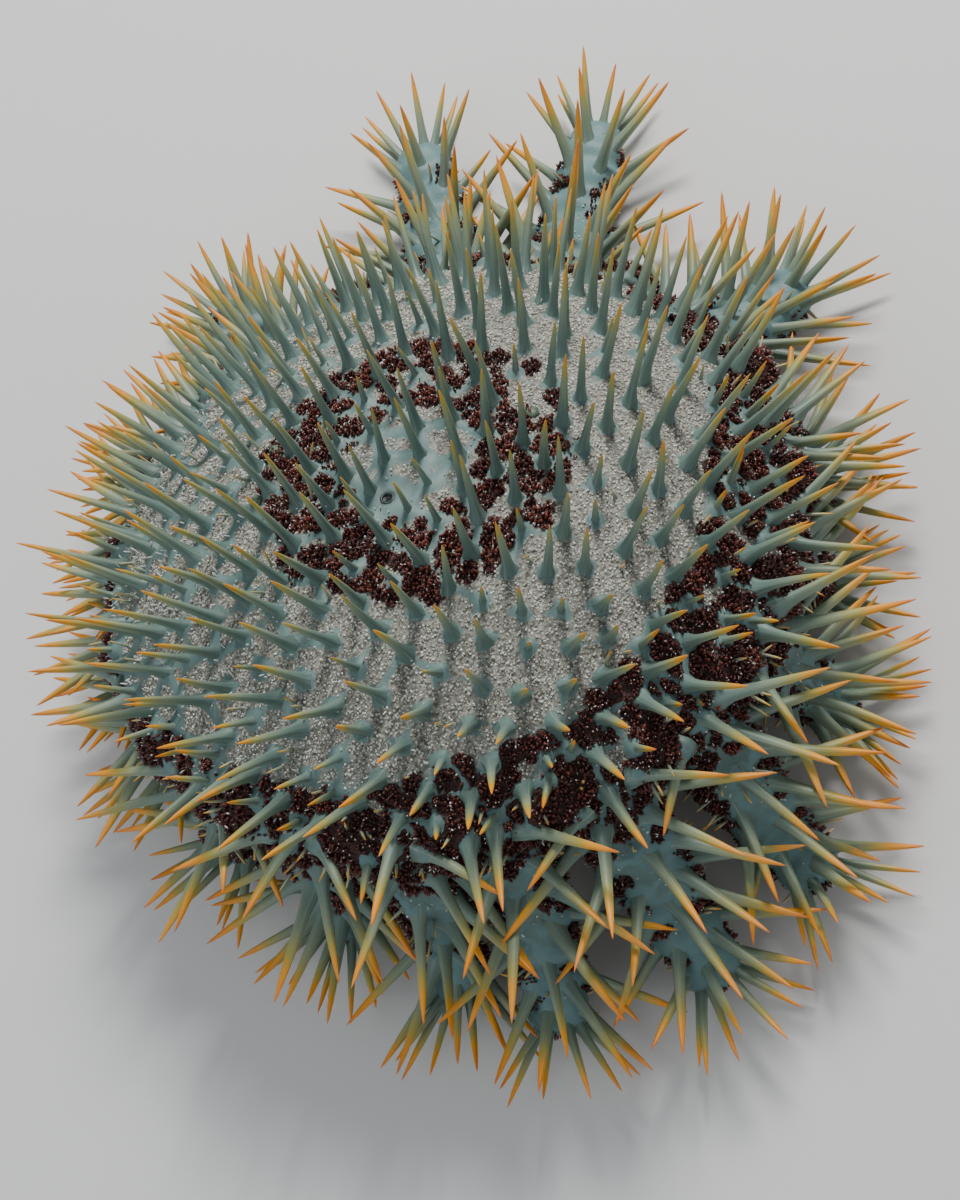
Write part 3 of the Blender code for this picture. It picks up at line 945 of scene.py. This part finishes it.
middle_bias = 0.3 * np.clip(1.3 - fraction / 0.22, 0, 1)
side_bias = 0.18 * web_side(azimuth) * np.clip(fraction / 0.5, 0, 1)
arm_bias = 0.25 * np.clip((fraction - ARM_FREE_FROM[0]) / 0.2, 0, 1)
web_gain = np.where(on_disc, middle_bias + side_bias, arm_bias)
web = np.clip(np.maximum(ridge, swell * 1.25) + web_gain, 0, 1.4)
zones = {"ridge": web, "pore": np.clip(2.6 - from_pore / MM, 0, 1), "red": red, "pale": pale}
for name, values in {**zones, "below": below, "on_arm": ~on_disc}.items():
    set_attribute(skin, name, values)
shade_smooth(skin)
skin_tree = tree_of(skin)
print("highest lift in mm:", round(lift.max() / MM, 2))

# %% Skin finish
TEAL = (0.148, 0.245, 0.235)
TEAL_DARK = (0.082, 0.150, 0.148)
CHALK = (0.29, 0.285, 0.245)
CHALK_DARK = (0.10, 0.10, 0.085)
WHITE_GREY = (0.70, 0.71, 0.68)
RED_SKIN = (0.026, 0.008, 0.007)
RED_BEADS = (0.075, 0.020, 0.014)
TEAL_ARM = (0.120, 0.228, 0.238)
PORE_PAINTED_SHADE = (0.010, 0.014, 0.010)
SOLE_SKIN = (0.42, 0.36, 0.24)

hide = Finish("living_skin", 0.5)
fine = hide.noise(900.0, 2.0)
ragged = hide.noise(330.0, 3.0)
broad = hide.noise(60.0, 4.0)
speck = hide.cells(1100.0)
chalk = hide.mix(fine.between(0.35, 0.65), CHALK_DARK, CHALK)
chalk = hide.mix((1 - speck.between(0.15, 0.34)) * 0.75, chalk, WHITE_GREY)
teal = hide.mix(broad.between(0.3, 0.7), TEAL_DARK, TEAL)
between_webs = hide.mix(hide.attribute("pale"), teal, chalk)
web_mask = (hide.attribute("ridge") + (ragged - 0.5) * 0.7 + (fine - 0.5) * 0.3).between(0.34, 0.60)
over = hide.mix(web_mask, between_webs, hide.mix(hide.attribute("on_arm"), teal, TEAL_ARM))
red_mask = (hide.attribute("red") + (ragged - 0.5) * 0.4 - web_mask * 0.7).between(0.25, 0.55)
crowd = hide.cells(850.0)
over = hide.mix(red_mask, over, hide.mix(crowd.between(0.2, 0.6), RED_BEADS, RED_SKIN))
# The skin in the pore's dip is painted near black: painted shade in the hollow.
over = hide.mix(hide.attribute("pore"), over, PORE_PAINTED_SHADE)
sole = hide.mix(broad.between(0.35, 0.65), tuple(value * 0.75 for value in SOLE_SKIN), SOLE_SKIN)
hide.colour(hide.mix(hide.attribute("below"), over, sole))
hide.roughness(0.64 - web_mask * 0.1)
hide.bump(fine * (1 - web_mask * 0.7) - crowd * red_mask * 1.6, 0.5 * MM, 0.7)
skin.data.materials.append(hide.material)

# %% [markdown]
# ## One shape, many copies
# A thorn, a bead or a granule is modelled once. Its points are then turned, stretched and set
# down hundreds of times, and all the copies become one joined mesh. Each copy also gets
# a small square of its own on the map named OFBake.

# %% Joined copies
MAP_MARGIN = 0.08


class Copies:
    """Gathers copies of one small shape into a single mesh."""

    def __init__(self, master):
        mesh = master.data
        self.shape = spots(master)
        self.corners = [tuple(polygon.vertices) for polygon in mesh.polygons]
        uv = np.empty(len(mesh.loops) * 2)
        mesh.uv_layers[0].uv.foreach_get("vector", uv)
        self.uv = uv.reshape(-1, 2)
        self.places = []
        self.values = {}
        bpy.data.objects.remove(master)

    def add(self, placed, **values):
        """Adds a copy, with values for the whole of it or for each of its points."""
        self.places.append(placed)
        for key, value in values.items():
            value = np.broadcast_to(value, (len(self.shape),) + np.shape(value)[1:])
            self.values.setdefault(key, []).append(value)

    def finish(self, name):
        """The joined mesh, with its own map named OFBake."""
        count, size = len(self.places), len(self.shape)
        mesh = bpy.data.meshes.new(name)
        faces = []
        for k in range(count):
            faces += [tuple(corner + k * size for corner in face) for face in self.corners]
        mesh.from_pydata(np.concatenate(self.places), [], faces)
        side = math.ceil(math.sqrt(count))
        square = (1 - 2 * MAP_MARGIN) / side
        squares = [(k % side / side, k // side / side) for k in range(count)]
        uv = np.repeat(squares, len(self.uv), axis=0) + np.tile(self.uv, (count, 1)) * square
        layer = mesh.uv_layers.new(name="OFBake")
        layer.uv.foreach_set("vector", uv.astype(np.float32).ravel())
        item = bpy.data.objects.new(name, mesh)
        bpy.context.scene.collection.objects.link(item)
        for key, values in self.values.items():
            joined = np.concatenate(values)
            set_attribute(item, key, joined, "FLOAT" if joined.ndim == 1 else "FLOAT_VECTOR")
        shade_smooth(item)
        mesh.update()
        print(name, "copies:", count, "faces:", len(mesh.polygons))
        return item


def axes_for(way, spin):
    """Two directions at right angles to a way, turned by a spin."""
    aside = unit(np.cross(way, (0.31, 0.57, 0.76)))
    other = np.cross(way, aside)
    c, s = math.cos(spin), math.sin(spin)
    return aside * c + other * s, other * c - aside * s


def stand(shape, root, axes, sizes=(1, 1, 1)):
    """A shape resized, laid along three axes and moved to its root."""
    return root + (shape * sizes) @ np.stack(axes)


# %% One thorn
# A stout cone with a flared foot, drawn in at its waist and ending in a fine point.
THORN_SIDES = 9
THORN_FOOT = 3.3 * MM
THORN_OUTLINE = (
    (1.34, -0.09), (1.06, 0.01), (0.80, 0.06), (0.62, 0.12), (0.50, 0.21), (0.435, 0.34),
    (0.385, 0.50), (0.31, 0.68), (0.215, 0.84), (0.10, 0.955), (0.02, 1.0),
)
THORN_KEEL = 0.14


def wrapped_map(item, low, high):
    """Maps a turned shape by its turn and its height."""
    mesh = item.data
    layer = mesh.uv_layers[0] if mesh.uv_layers else mesh.uv_layers.new(name="OFBake")
    for polygon in mesh.polygons:
        turns = []
        for i in polygon.vertices:
            co = mesh.vertices[i].co
            turns.append(math.atan2(co.y, co.x) / math.tau % 1)
        if max(turns) - min(turns) > 0.5:
            turns = [turn + 1 if turn < 0.5 else turn for turn in turns]
        for loop, i, turn in zip(polygon.loop_indices, polygon.vertices, turns):
            height = (mesh.vertices[i].co.z - low) / (high - low)
            layer.uv[loop].vector = (turn * 0.9, height * 0.95)


thorn = extrude_rings("thorn_master", THORN_SIDES, THORN_OUTLINE)
wrapped_map(thorn, THORN_OUTLINE[0][1], 1.0)
shape = spots(thorn)
turns = np.arctan2(shape[:, 1], shape[:, 0])
shape[:, :2] *= (1 + THORN_KEEL * np.cos(3 * turns))[:, None]
move_spots(thorn, shape)
print("one thorn has", len(thorn.data.polygons), "faces")

# %% Set the thorns
THORN_BEND = 0.05
THORN_GROUPS = (("thorns_disc", 0, disc_thorn_count), ("thorns_arms", disc_thorn_count, len(thorns)))


def make_thorns(name, first, last, master):
    copies = Copies(master)
    unit_shape = copies.shape
    heights = np.clip(unit_shape[:, 2], 0, 1)
    turns = np.arctan2(unit_shape[:, 1], unit_shape[:, 0])
    for root, way, length, girth, warm, vary in thorns[first:last]:
        spin = vary * math.tau * 7
        axes = (*axes_for(way, spin), way)
        radius = THORN_FOOT * girth * (0.60 + 0.36 * length / DISC_LENGTH)
        bend = axes[0] * length * THORN_BEND * (vary * 2 - 1)
        placed = stand(unit_shape, root, axes, (radius, radius, length)) + np.outer(heights ** 2, bend)
        grain = np.stack((np.cos(turns), np.sin(turns), heights * 0.6 + vary * 9), -1)
        keel = np.clip(np.cos(3 * turns), 0, 1)
        copies.add(placed, along=heights, warm=warm, vary=vary, keel=keel, grain=grain)
    return copies.finish(name)


thorn_pieces = []
for name, first, last in THORN_GROUPS:
    master = copy_of(thorn, name + "_master", shape)
    thorn_pieces.append(make_thorns(name, first, last, master))
bpy.data.objects.remove(thorn)

# %% Thorn finish
THORN_STOPS = (
    (0.0, (0.112, 0.190, 0.175)), (0.22, (0.155, 0.232, 0.186)), (0.45, (0.245, 0.300, 0.180)),
    (0.62, (0.40, 0.35, 0.07)), (0.75, (0.78, 0.33, 0.003)), (0.90, (0.80, 0.27, 0.001)),
    (1.0, (0.74, 0.19, 0.001)),
)
# A pale colour for faint lengthwise streaks and for the painted highlight along the keels.
PALE_STREAK_AND_KEEL_HIGHLIGHT = (0.50, 0.56, 0.50)
horn = Finish("thorn_skin", 0.42)
streaks = horn.noise(2.2, 3.0, horn.vector_attribute("grain"))
mottle = horn.noise(260.0, 3.0)
up_thorn = horn.attribute("along") + (horn.attribute("warm") - 1) * 0.28 + (mottle - 0.5) * 0.14
up_thorn = up_thorn + (horn.attribute("vary") - 0.5) * 0.14
tint = horn.ramp(up_thorn, THORN_STOPS)
tint = horn.mix(streaks.between(0.4, 0.8) * 0.2, tint, PALE_STREAK_AND_KEEL_HIGHLIGHT)
low_down = 1 - horn.attribute("along").between(0.45, 0.8)
# The lower part of each keel is painted pale: a painted highlight where light catches the thorn's edges.
keel_painted_highlight = horn.attribute("keel").between(0.72, 1.0) * low_down * 0.55
horn.colour(horn.mix(keel_painted_highlight, tint, PALE_STREAK_AND_KEEL_HIGHLIGHT))
horn.roughness(0.38 + mottle * 0.2)
horn.bump(streaks, 0.4 * MM, 0.35)
for piece in thorn_pieces:
    piece.data.materials.append(horn.material)

# %% [markdown]
# ## Beads, granules and spinelets
# Each red cluster is filled with finger-like beads in the order of a sunflower's seeds.
# Chalky granules cover the pale skin, with small pincers between them, and white slivers lie
# among the beads. Thin pale spinelets stand along the rim and on the arms.

# %% Beads
BEAD_PITCH = 0.98 * MM
BEAD_RADIUS = 0.48 * MM
BEADS_A_SQUARE = 2.9
BEAD_RISE, BEAD_RISE_IN_MIDDLE = 1.5, 1.3
FLECK_SHARE = 0.10
MOST_COPIES = 9900


def with_room(groups, count=1):
    """The last group of balls, or a new one where it would grow too large for one piece."""
    if not groups or len(groups[-1].places) + count > MOST_COPIES:
        bpy.ops.mesh.primitive_ico_sphere_add(subdivisions=1, radius=1)
        groups.append(Copies(bpy.context.object))
    return groups[-1]


def add_ball(copies, place, way, wide, tall, sink, vary):
    """Sets a ball on the skin, stretched along a way, with its foot sunk in."""
    axes = (*axes_for(way, draw.uniform(0, math.tau)), way)
    sizes = (wide, wide * draw.uniform(0.7, 1), tall)
    copies.add(stand(copies.shape, place + way * (tall - sink), axes, sizes), vary=vary)


bead_groups = []
flecks = []
for centre, normal, size in clusters:
    count = max(5, int(BEADS_A_SQUARE * (size / BEAD_PITCH) ** 2))
    aside, other = axes_for(normal, draw.uniform(0, math.tau))
    bright = np.linalg.norm(centre - POLE) < RIM_RADIUS / 2
    tone = draw.random() + (0.3 if bright else 0)
    lobes = (draw.uniform(0, math.tau), draw.uniform(0, math.tau))
    beads = with_room(bead_groups, count)
    for k in range(count):
        turn = k * GOLDEN_TURN + draw.uniform(-0.3, 0.3)
        outline = 1 + 0.22 * math.sin(2 * turn + lobes[0]) + 0.14 * math.sin(3 * turn + lobes[1])
        out = size * outline * math.sqrt((k + 0.5) / count)
        target = centre + aside * out * math.cos(turn) + other * out * math.sin(turn)
        if web_at(target)[0] > RIB_EDGE + 0.12:
            continue
        place, facing_here = on_skin(target)
        rise = BEAD_RISE + BEAD_RISE_IN_MIDDLE * (1 - min(1, out / size) ** 2)
        radius = BEAD_RADIUS * draw.uniform(0.7, 1.3)
        vary = tone * 0.5 + draw.random() * 0.5
        leaning = wobble(facing_here, 0.5)
        add_ball(beads, place, leaning, radius, radius * rise, radius * 0.5, vary)
        if draw.random() < FLECK_SHARE:
            flecks.append((place + leaning * radius * (rise * 1.7), leaning))
bead_pieces = [group.finish(f"breathing_beads_{k + 1}") for k, group in enumerate(bead_groups)]

# %% Granules
GRANULE_SIZE = (0.22 * MM, 0.52 * MM)
GRANULES_A_POINT = 2
GRANULES_ON_ARMS = 0.015
PINCER_SHARE = 0.075
PINCER_SHARE_ON_ARMS = 0.12
PORE_ROOM = 3.4 * MM
granule_groups = []


def add_granule(place, normal, wide, stretch=1.0):
    vary = draw.random()
    tall = wide * stretch * draw.uniform(0.5, 1.1)
    add_ball(with_room(granule_groups), place, normal, wide, tall, wide * 0.4, vary)


for place, normal in flecks:
    add_granule(place, wobble(normal, 1.0), draw.uniform(0.16, 0.28) * MM, draw.uniform(1.6, 3.6))
for i in order:
    between_ribs = 1 - min(1, max(0, web[i] - 0.22) * 4)
    chance = pale[i] * (0.72 if red[i] < 0.3 else 0.15) * between_ribs
    if not on_disc[i] and not below[i]:
        chance = GRANULES_ON_ARMS * (1 - ridge[i])
    if from_pore[i] < PORE_ROOM:
        continue
    for _ in range(GRANULES_A_POINT):
        if draw.random() < chance:
            aside = np.array([draw.uniform(-1, 1) for _ in range(3)]) * VOXEL * 0.6
            add_granule(*on_skin(places[i] + aside), draw.uniform(*GRANULE_SIZE))
side = web_side(azimuth) * np.clip(fraction / 0.6, 0, 1)
for i in order:
    chance = PINCER_SHARE * (0.5 + 0.9 * side[i] if on_disc[i] else PINCER_SHARE_ON_ARMS)
    if draw.random() < chance and not below[i] and from_pore[i] > PORE_ROOM:
        place, normal = on_skin(places[i])
        wide = draw.uniform(0.2, 0.34) * MM
        vary = draw.uniform(0.7, 1)
        leaning = wobble(normal, 0.5)
        tall = wide * draw.uniform(2.0, 3.6) * (1 + 0.7 * side[i])
        add_ball(with_room(granule_groups), place, leaning, wide, tall, 0.2 * MM, vary)
granule_pieces = [group.finish(f"chalk_granules_{k + 1}") for k, group in enumerate(granule_groups)]

# %% Spinelets
SPINELET_OUTLINE = ((1.5, -0.1), (1.0, 0.04), (0.8, 0.3), (0.62, 0.65), (0.35, 0.9), (0.05, 1.0))
SPINELET_RADIUS = 0.62 * MM
SPINELET_LENGTH = (4 * MM, 9 * MM)
SPINELET_SHARE = 0.014
SPINELET_ROOM = 3.6 * MM
SOLE_ROOM = 0.2 * MM


def spike_copies(name, sides, outline):
    """Copies of a thin turned shape, to be stood on the skin."""
    item = extrude_rings(name, sides, outline)
    wrapped_map(item, outline[0][1], 1.0)
    return Copies(item)


def add_spike(copies, root, way, spin, radius, length):
    """Stands a thin shape on the skin, and notes how far up it each of its points is."""
    placed = stand(copies.shape, root, (*axes_for(way, spin), way), (radius, radius, length))
    placed[:, 2] = np.maximum(placed[:, 2], SOLE_ROOM)
    copies.add(placed, along=np.clip(copies.shape[:, 2], 0, 1), vary=draw.random())


spinelets = spike_copies("spinelet_master", 6, SPINELET_OUTLINE)
for i in order:
    near_rim = min(1, max(0, (fraction[i] - 0.72) / 0.2)) if on_disc[i] else 1.0
    chance = SPINELET_SHARE * (near_rim + 0.06 + 0.3 * side[i])
    if from_pore[i] < 2 * PORE_ROOM or below[i] or draw.random() > chance:
        continue
    if root_tree.find(places[i])[2] < SPINELET_ROOM:
        continue
    place, normal = on_skin(places[i])
    length = draw.uniform(*SPINELET_LENGTH)
    way = wobble(normal, 0.35)
    if (place + way * length)[2] >= FLOOR_ROOM:
        add_spike(spinelets, place, way, 0, SPINELET_RADIUS, length)
spinelet_piece = spinelets.finish("spinelets")

# %% Bead, granule and spinelet finishes
SPINELET_STOPS = (
    (0.0, (0.20, 0.27, 0.22)), (0.5, (0.42, 0.43, 0.28)), (0.75, (0.66, 0.50, 0.16)),
    (1.0, (0.82, 0.36, 0.03)),
)
BEAD_STOPS = (
    (0.0, (0.034, 0.010, 0.009)), (0.5, (0.078, 0.020, 0.016)), (0.8, (0.13, 0.030, 0.023)),
    (1.0, (0.20, 0.050, 0.034)),
)
CHALK_STOPS = ((0.0, (0.31, 0.29, 0.23)), (0.4, (0.52, 0.53, 0.48)), (1.0, (0.84, 0.86, 0.83)))


def ramp_finish(name, roughness, attribute, stops, grain, grain_share, vary_share=0):
    """A finish whose colour runs with an attribute, broken up by noise."""
    finish = Finish(name, roughness)
    tone = finish.attribute(attribute) + (finish.noise(grain) - 0.5) * grain_share
    if vary_share:
        tone = tone + (finish.attribute("vary") - 0.5) * vary_share
    finish.colour(finish.ramp(tone, stops))
    return finish


spinelet_skin = ramp_finish("spinelet_skin", 0.45, "along", SPINELET_STOPS, 400.0, 0.2, 0.3)
spinelet_piece.data.materials.append(spinelet_skin.material)
bead_skin = ramp_finish("papula_red", 0.3, "vary", BEAD_STOPS, 700.0, 0.4)
bead_skin.bump(bead_skin.noise(1500.0), 0.2 * MM, 0.4)
for piece in bead_pieces:
    piece.data.materials.append(bead_skin.material)
chalk_skin = ramp_finish("granule_chalk", 0.6, "vary", CHALK_STOPS, 900.0, 0.3)
for piece in granule_pieces:
    piece.data.materials.append(chalk_skin.material)

# %% [markdown]
# ## The underside
# Below each arm runs a groove with two rows of tube feet, each a soft stalk with a sucker,
# and a fence of short blunt spines along both edges. The grooves go on under the disc
# as far as the mouth, which lies in the middle of a soft round membrane.

# %% Places along the grooves
FEET_AN_ARM = 13
FEET_FROM, FEET_OVER = 0.06, 0.88
FEET_UNDER_DISC = 8
FEET_APART = 6.2 * MM
RAY_FROM = 30 * MM
RAY_LENGTH = 0.06


def groove_spots():
    """Places along every groove: the middle, the way across, half the width and the way down."""
    found = []
    for arm in arms:
        for j in range(FEET_AN_ARM):
            t = FEET_FROM + FEET_OVER * j / (FEET_AN_ARM - 1)
            wide, _ = arm.size(t)
            _, across, back = arm.frame(t)
            found.append((arm.place(t) - back * 4 * MM, across, wide * 0.36, -back))
        for j in range(FEET_UNDER_DISC):
            radius = MOUTH_RADIUS + 5 * MM + j * FEET_APART
            middle = on_dome(arm.azimuth, radius, UNDER_HEIGHT - 2 * MM)
            across = around(arm.azimuth + math.pi / 2, 1, 0) @ LEAN_TURN.T
            found.append((middle, across, min(3.2 * MM, radius * 0.12), -AXIS))
    return found


def groove_sides(extra):
    """Both sides of every groove: a start, the way outwards, the way down and the skin there."""
    for middle, across, half, down in groove_spots():
        for side in (-1, 1):
            start = middle + across * side * (half + extra)
            hit = skin_tree.ray_cast(Vector(start + down * RAY_FROM), Vector(-down), RAY_LENGTH)[0]
            yield start, across * side, down, hit


# %% Tube feet
FOOT_SIDES = 8
FOOT_OUTLINE = (
    (0.8, -0.3), (0.72, 0.0), (0.6, 0.35), (0.55, 0.75), (1.05, 0.9), (1.2, 0.96), (1.1, 1.0),
    (0.35, 0.95),
)
TUBE_RADIUS = 1.15 * MM
TUBE_LENGTH = 7 * MM
feet = spike_copies("foot_master", FOOT_SIDES, FOOT_OUTLINE)
for start, aside, down, hit in groove_sides(0):
    root = np.array(hit) if hit else start
    way = wobble(down + aside * 0.15, 0.3)
    length = TUBE_LENGTH * draw.uniform(0.7, 1.15)
    if root[2] < TUBE_LENGTH * 1.3:
        way = np.array((0, 0, -1.0))
        length = root[2] - SOLE_ROOM
    if (root + way * length)[2] < SOLE_ROOM:
        length = max(2 * MM, (root[2] - SOLE_ROOM) / max(0.2, -way[2]))
    add_spike(feet, root, way, draw.uniform(0, math.tau), TUBE_RADIUS, length)
foot_piece = feet.finish("tube_feet")

# %% Groove spines
GROOVE_SPINE_OUTLINE = ((1.2, -0.2), (1.0, 0.0), (0.8, 0.3), (0.72, 0.7), (0.5, 0.93), (0.1, 1.0))
GROOVE_SPINE_RADIUS = 0.85 * MM
GROOVE_SPINE_LENGTH = 8 * MM
GROOVE_SPINE_ASIDE = 3.0 * MM
fence = spike_copies("groove_spine_master", 6, GROOVE_SPINE_OUTLINE)
for _, aside, down, hit in groove_sides(GROOVE_SPINE_ASIDE):
    if not hit:
        continue
    root = np.array(hit)
    way = wobble(unit(down + aside * 0.7), 0.2)
    length = GROOVE_SPINE_LENGTH * draw.uniform(0.7, 1.1)
    if (root + way * length)[2] < FLOOR_ROOM:
        way = unit(aside + down * 0.15)
        if (root + way * length)[2] < FLOOR_ROOM + GROOVE_SPINE_RADIUS:
            continue
    add_spike(fence, root, way, 0, GROOVE_SPINE_RADIUS, length)
fence_piece = fence.finish("groove_spines")

# %% Mouth
MOUTH_HOLE = 5 * MM
MOUTH_SIDES = 102
MOUTH_FOLDS = 17
MOUTH_FOLD_DEPTH = 0.5 * MM
low, high = UNDER_HEIGHT, UNDER_HEIGHT + MOUTH_DEPTH
mouth_rings = (
    (0.98 * MOUTH_RADIUS, high), (0.98 * MOUTH_RADIUS, low), (0.9 * MOUTH_RADIUS, low - 1.1 * MM),
    (0.72 * MOUTH_RADIUS, low - 1.5 * MM), (0.55 * MOUTH_RADIUS, low - 1.1 * MM),
    (MOUTH_HOLE, low - 0.4 * MM), (0.8 * MOUTH_HOLE, low + 0.7 * MM),
    (0.55 * MOUTH_HOLE, low + 2 * MM), (0.1 * MOUTH_HOLE, low + 2.3 * MM),
)
mouth = extrude_rings("mouth_membrane", MOUTH_SIDES, mouth_rings)
shape = spots(mouth)
turns = np.arctan2(shape[:, 1], shape[:, 0])
radii = np.hypot(shape[:, 0], shape[:, 1])
fold = np.cos(turns * MOUTH_FOLDS) * MOUTH_FOLD_DEPTH
fold *= np.clip(np.sin(radii / MOUTH_RADIUS * math.pi), 0, 1)
shape[:, 2] += np.where(shape[:, 2] < low + 3 * MM, fold, 0)
move_spots(mouth, shape @ LEAN_TURN.T + POLE)
set_attribute(mouth, "out", radii / MOUTH_RADIUS)
shade_smooth(mouth)
print("mouth faces:", len(mouth.data.polygons))

# %% Finishes of the underside
FOOT_STOPS = ((0.0, (0.52, 0.42, 0.24)), (0.7, (0.62, 0.50, 0.28)), (0.95, (0.36, 0.24, 0.13)))
FENCE_STOPS = ((0.0, (0.22, 0.26, 0.24)), (0.5, (0.46, 0.42, 0.30)), (1.0, (0.72, 0.56, 0.30)))
MOUTH_STOPS = ((0.1, (0.12, 0.05, 0.03)), (0.4, (0.40, 0.26, 0.16)), (1.0, (0.52, 0.42, 0.30)))
FOOT_RINGS = 60
foot_skin = ramp_finish("foot_skin", 0.4, "along", FOOT_STOPS, 500.0, 0.3)
foot_skin.bump((foot_skin.attribute("along") * FOOT_RINGS).sine(), 0.15 * MM, 0.5)
foot_piece.data.materials.append(foot_skin.material)
fence_skin = ramp_finish("groove_spine_skin", 0.5, "along", FENCE_STOPS, 400.0, 0.3, 0.2)
fence_piece.data.materials.append(fence_skin.material)
lip_skin = ramp_finish("mouth_skin", 0.45, "out", MOUTH_STOPS, 300.0, 0.3)
lip_skin.bump(lip_skin.noise(700.0), 0.3 * MM, 0.6)
mouth.data.materials.append(lip_skin.material)

# %% [markdown]
# ## Small marks on the back
# Near the middle of the back lies a pore: a hollow cup, its near-black colour painted shade, inside a soft
# lip.
# Further out are three round sieve plates, cut by fine winding grooves, that let in sea water.

# %% Pore and sieve plates
PORE_RADIUS = 1.9 * MM
PORE_LIP = 0.5 * MM
PORE_DEPTH = 1.0 * MM
PORE_HOLLOW = 0.8
SIEVE_RADIUS = 2.1 * MM


def lay_on_skin(item, place, normal):
    move_spots(item, stand(spots(item), place, (*axes_for(normal, 0), normal)))


ring_sizes = {"major_radius": PORE_RADIUS, "minor_radius": PORE_LIP}
bpy.ops.mesh.primitive_torus_add(major_segments=24, minor_segments=10, **ring_sizes)
pore = bpy.context.object
pore.name = "pore_lip"
around_pore = pore_place + np.array(((1, 0, 0), (0, 1, 0), (-1, 0, 0), (0, -1, 0))) * 3 * MM
pore_middle = np.mean([on_skin(place)[0] for place in around_pore], axis=0) - AXIS * 0.2 * MM
lay_on_skin(pore, pore_middle, AXIS)
bpy.ops.mesh.primitive_uv_sphere_add(segments=24, ring_count=12, radius=1)
cup = bpy.context.object
cup.name = "pore_cup"
shape = spots(cup)
# The upper half is turned down into the lower one, so that the ball becomes a hollow cup.
shape[:, 2] = np.where(shape[:, 2] > 0, -PORE_HOLLOW * shape[:, 2], shape[:, 2])
move_spots(cup, shape * (PORE_RADIUS, PORE_RADIUS, PORE_DEPTH))
lay_on_skin(cup, pore_middle, AXIS)
sieves = []
for k, sieve_spot in enumerate(SIEVES):
    bpy.ops.mesh.primitive_uv_sphere_add(segments=28, ring_count=16, radius=1)
    sieve = bpy.context.object
    sieve.name = f"sieve_plate_{k + 1}"
    shape = spots(sieve)
    # Winding grooves, cut only into the top and the bottom of the flattened ball.
    groove = np.sin(shape[:, 0] * 11 + np.sin(shape[:, 1] * 9) * 1.5)
    shape *= (1 + 0.05 * groove * (np.abs(shape[:, 2]) > 0.2))[:, None]
    move_spots(sieve, shape * (SIEVE_RADIUS, SIEVE_RADIUS, SIEVE_RADIUS * 0.5))
    spot, normal = on_skin(dome_place(*sieve_spot)[0])
    lay_on_skin(sieve, spot + normal * 0.4 * MM, normal)
    sieves.append(sieve)
print("the pore's middle:", pore_middle.round(4), "sieve plates:", len(sieves))

# %% Finishes of the small marks
# Roughness, the two colours that noise mixes, the noise's scale and the depth of the bump.
MARKS = {
    "pore_dark": (0.45, (0.012, 0.02, 0.018), (0.05, 0.075, 0.07), 900.0, 0.2 * MM),
    # The cup's near-black colours are painted shade in the pore's hollow.
    "pore_depth": (0.9, (0.004, 0.007, 0.006), (0.010, 0.016, 0.014), 900.0, 0),
    "sieve_green": (0.5, (0.045, 0.085, 0.06), (0.15, 0.22, 0.15), 800.0, 0.2 * MM),
}
for name, items in {"pore_dark": [pore], "pore_depth": [cup], "sieve_green": sieves}.items():
    roughness, first, second, grain, bump_depth = MARKS[name]
    mark = Finish(name, roughness)
    mark.colour(mark.mix(mark.noise(grain).between(0.35, 0.65), first, second))
    if bump_depth:
        mark.bump(mark.noise(1200.0), bump_depth, 0.5)
    for item in items:
        item.data.materials.append(mark.material)
        shade_smooth(item)

# %% Attach the pieces to the root and hide the imported solids
coat_pieces = (*thorn_pieces, *bead_pieces, *granule_pieces, spinelet_piece)
for piece in (skin, *coat_pieces, foot_piece, fence_piece, pore, cup, *sieves):
    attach(piece, "root")
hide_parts("disc", *ARM_NODES)
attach(mouth, "root")
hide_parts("mouth")
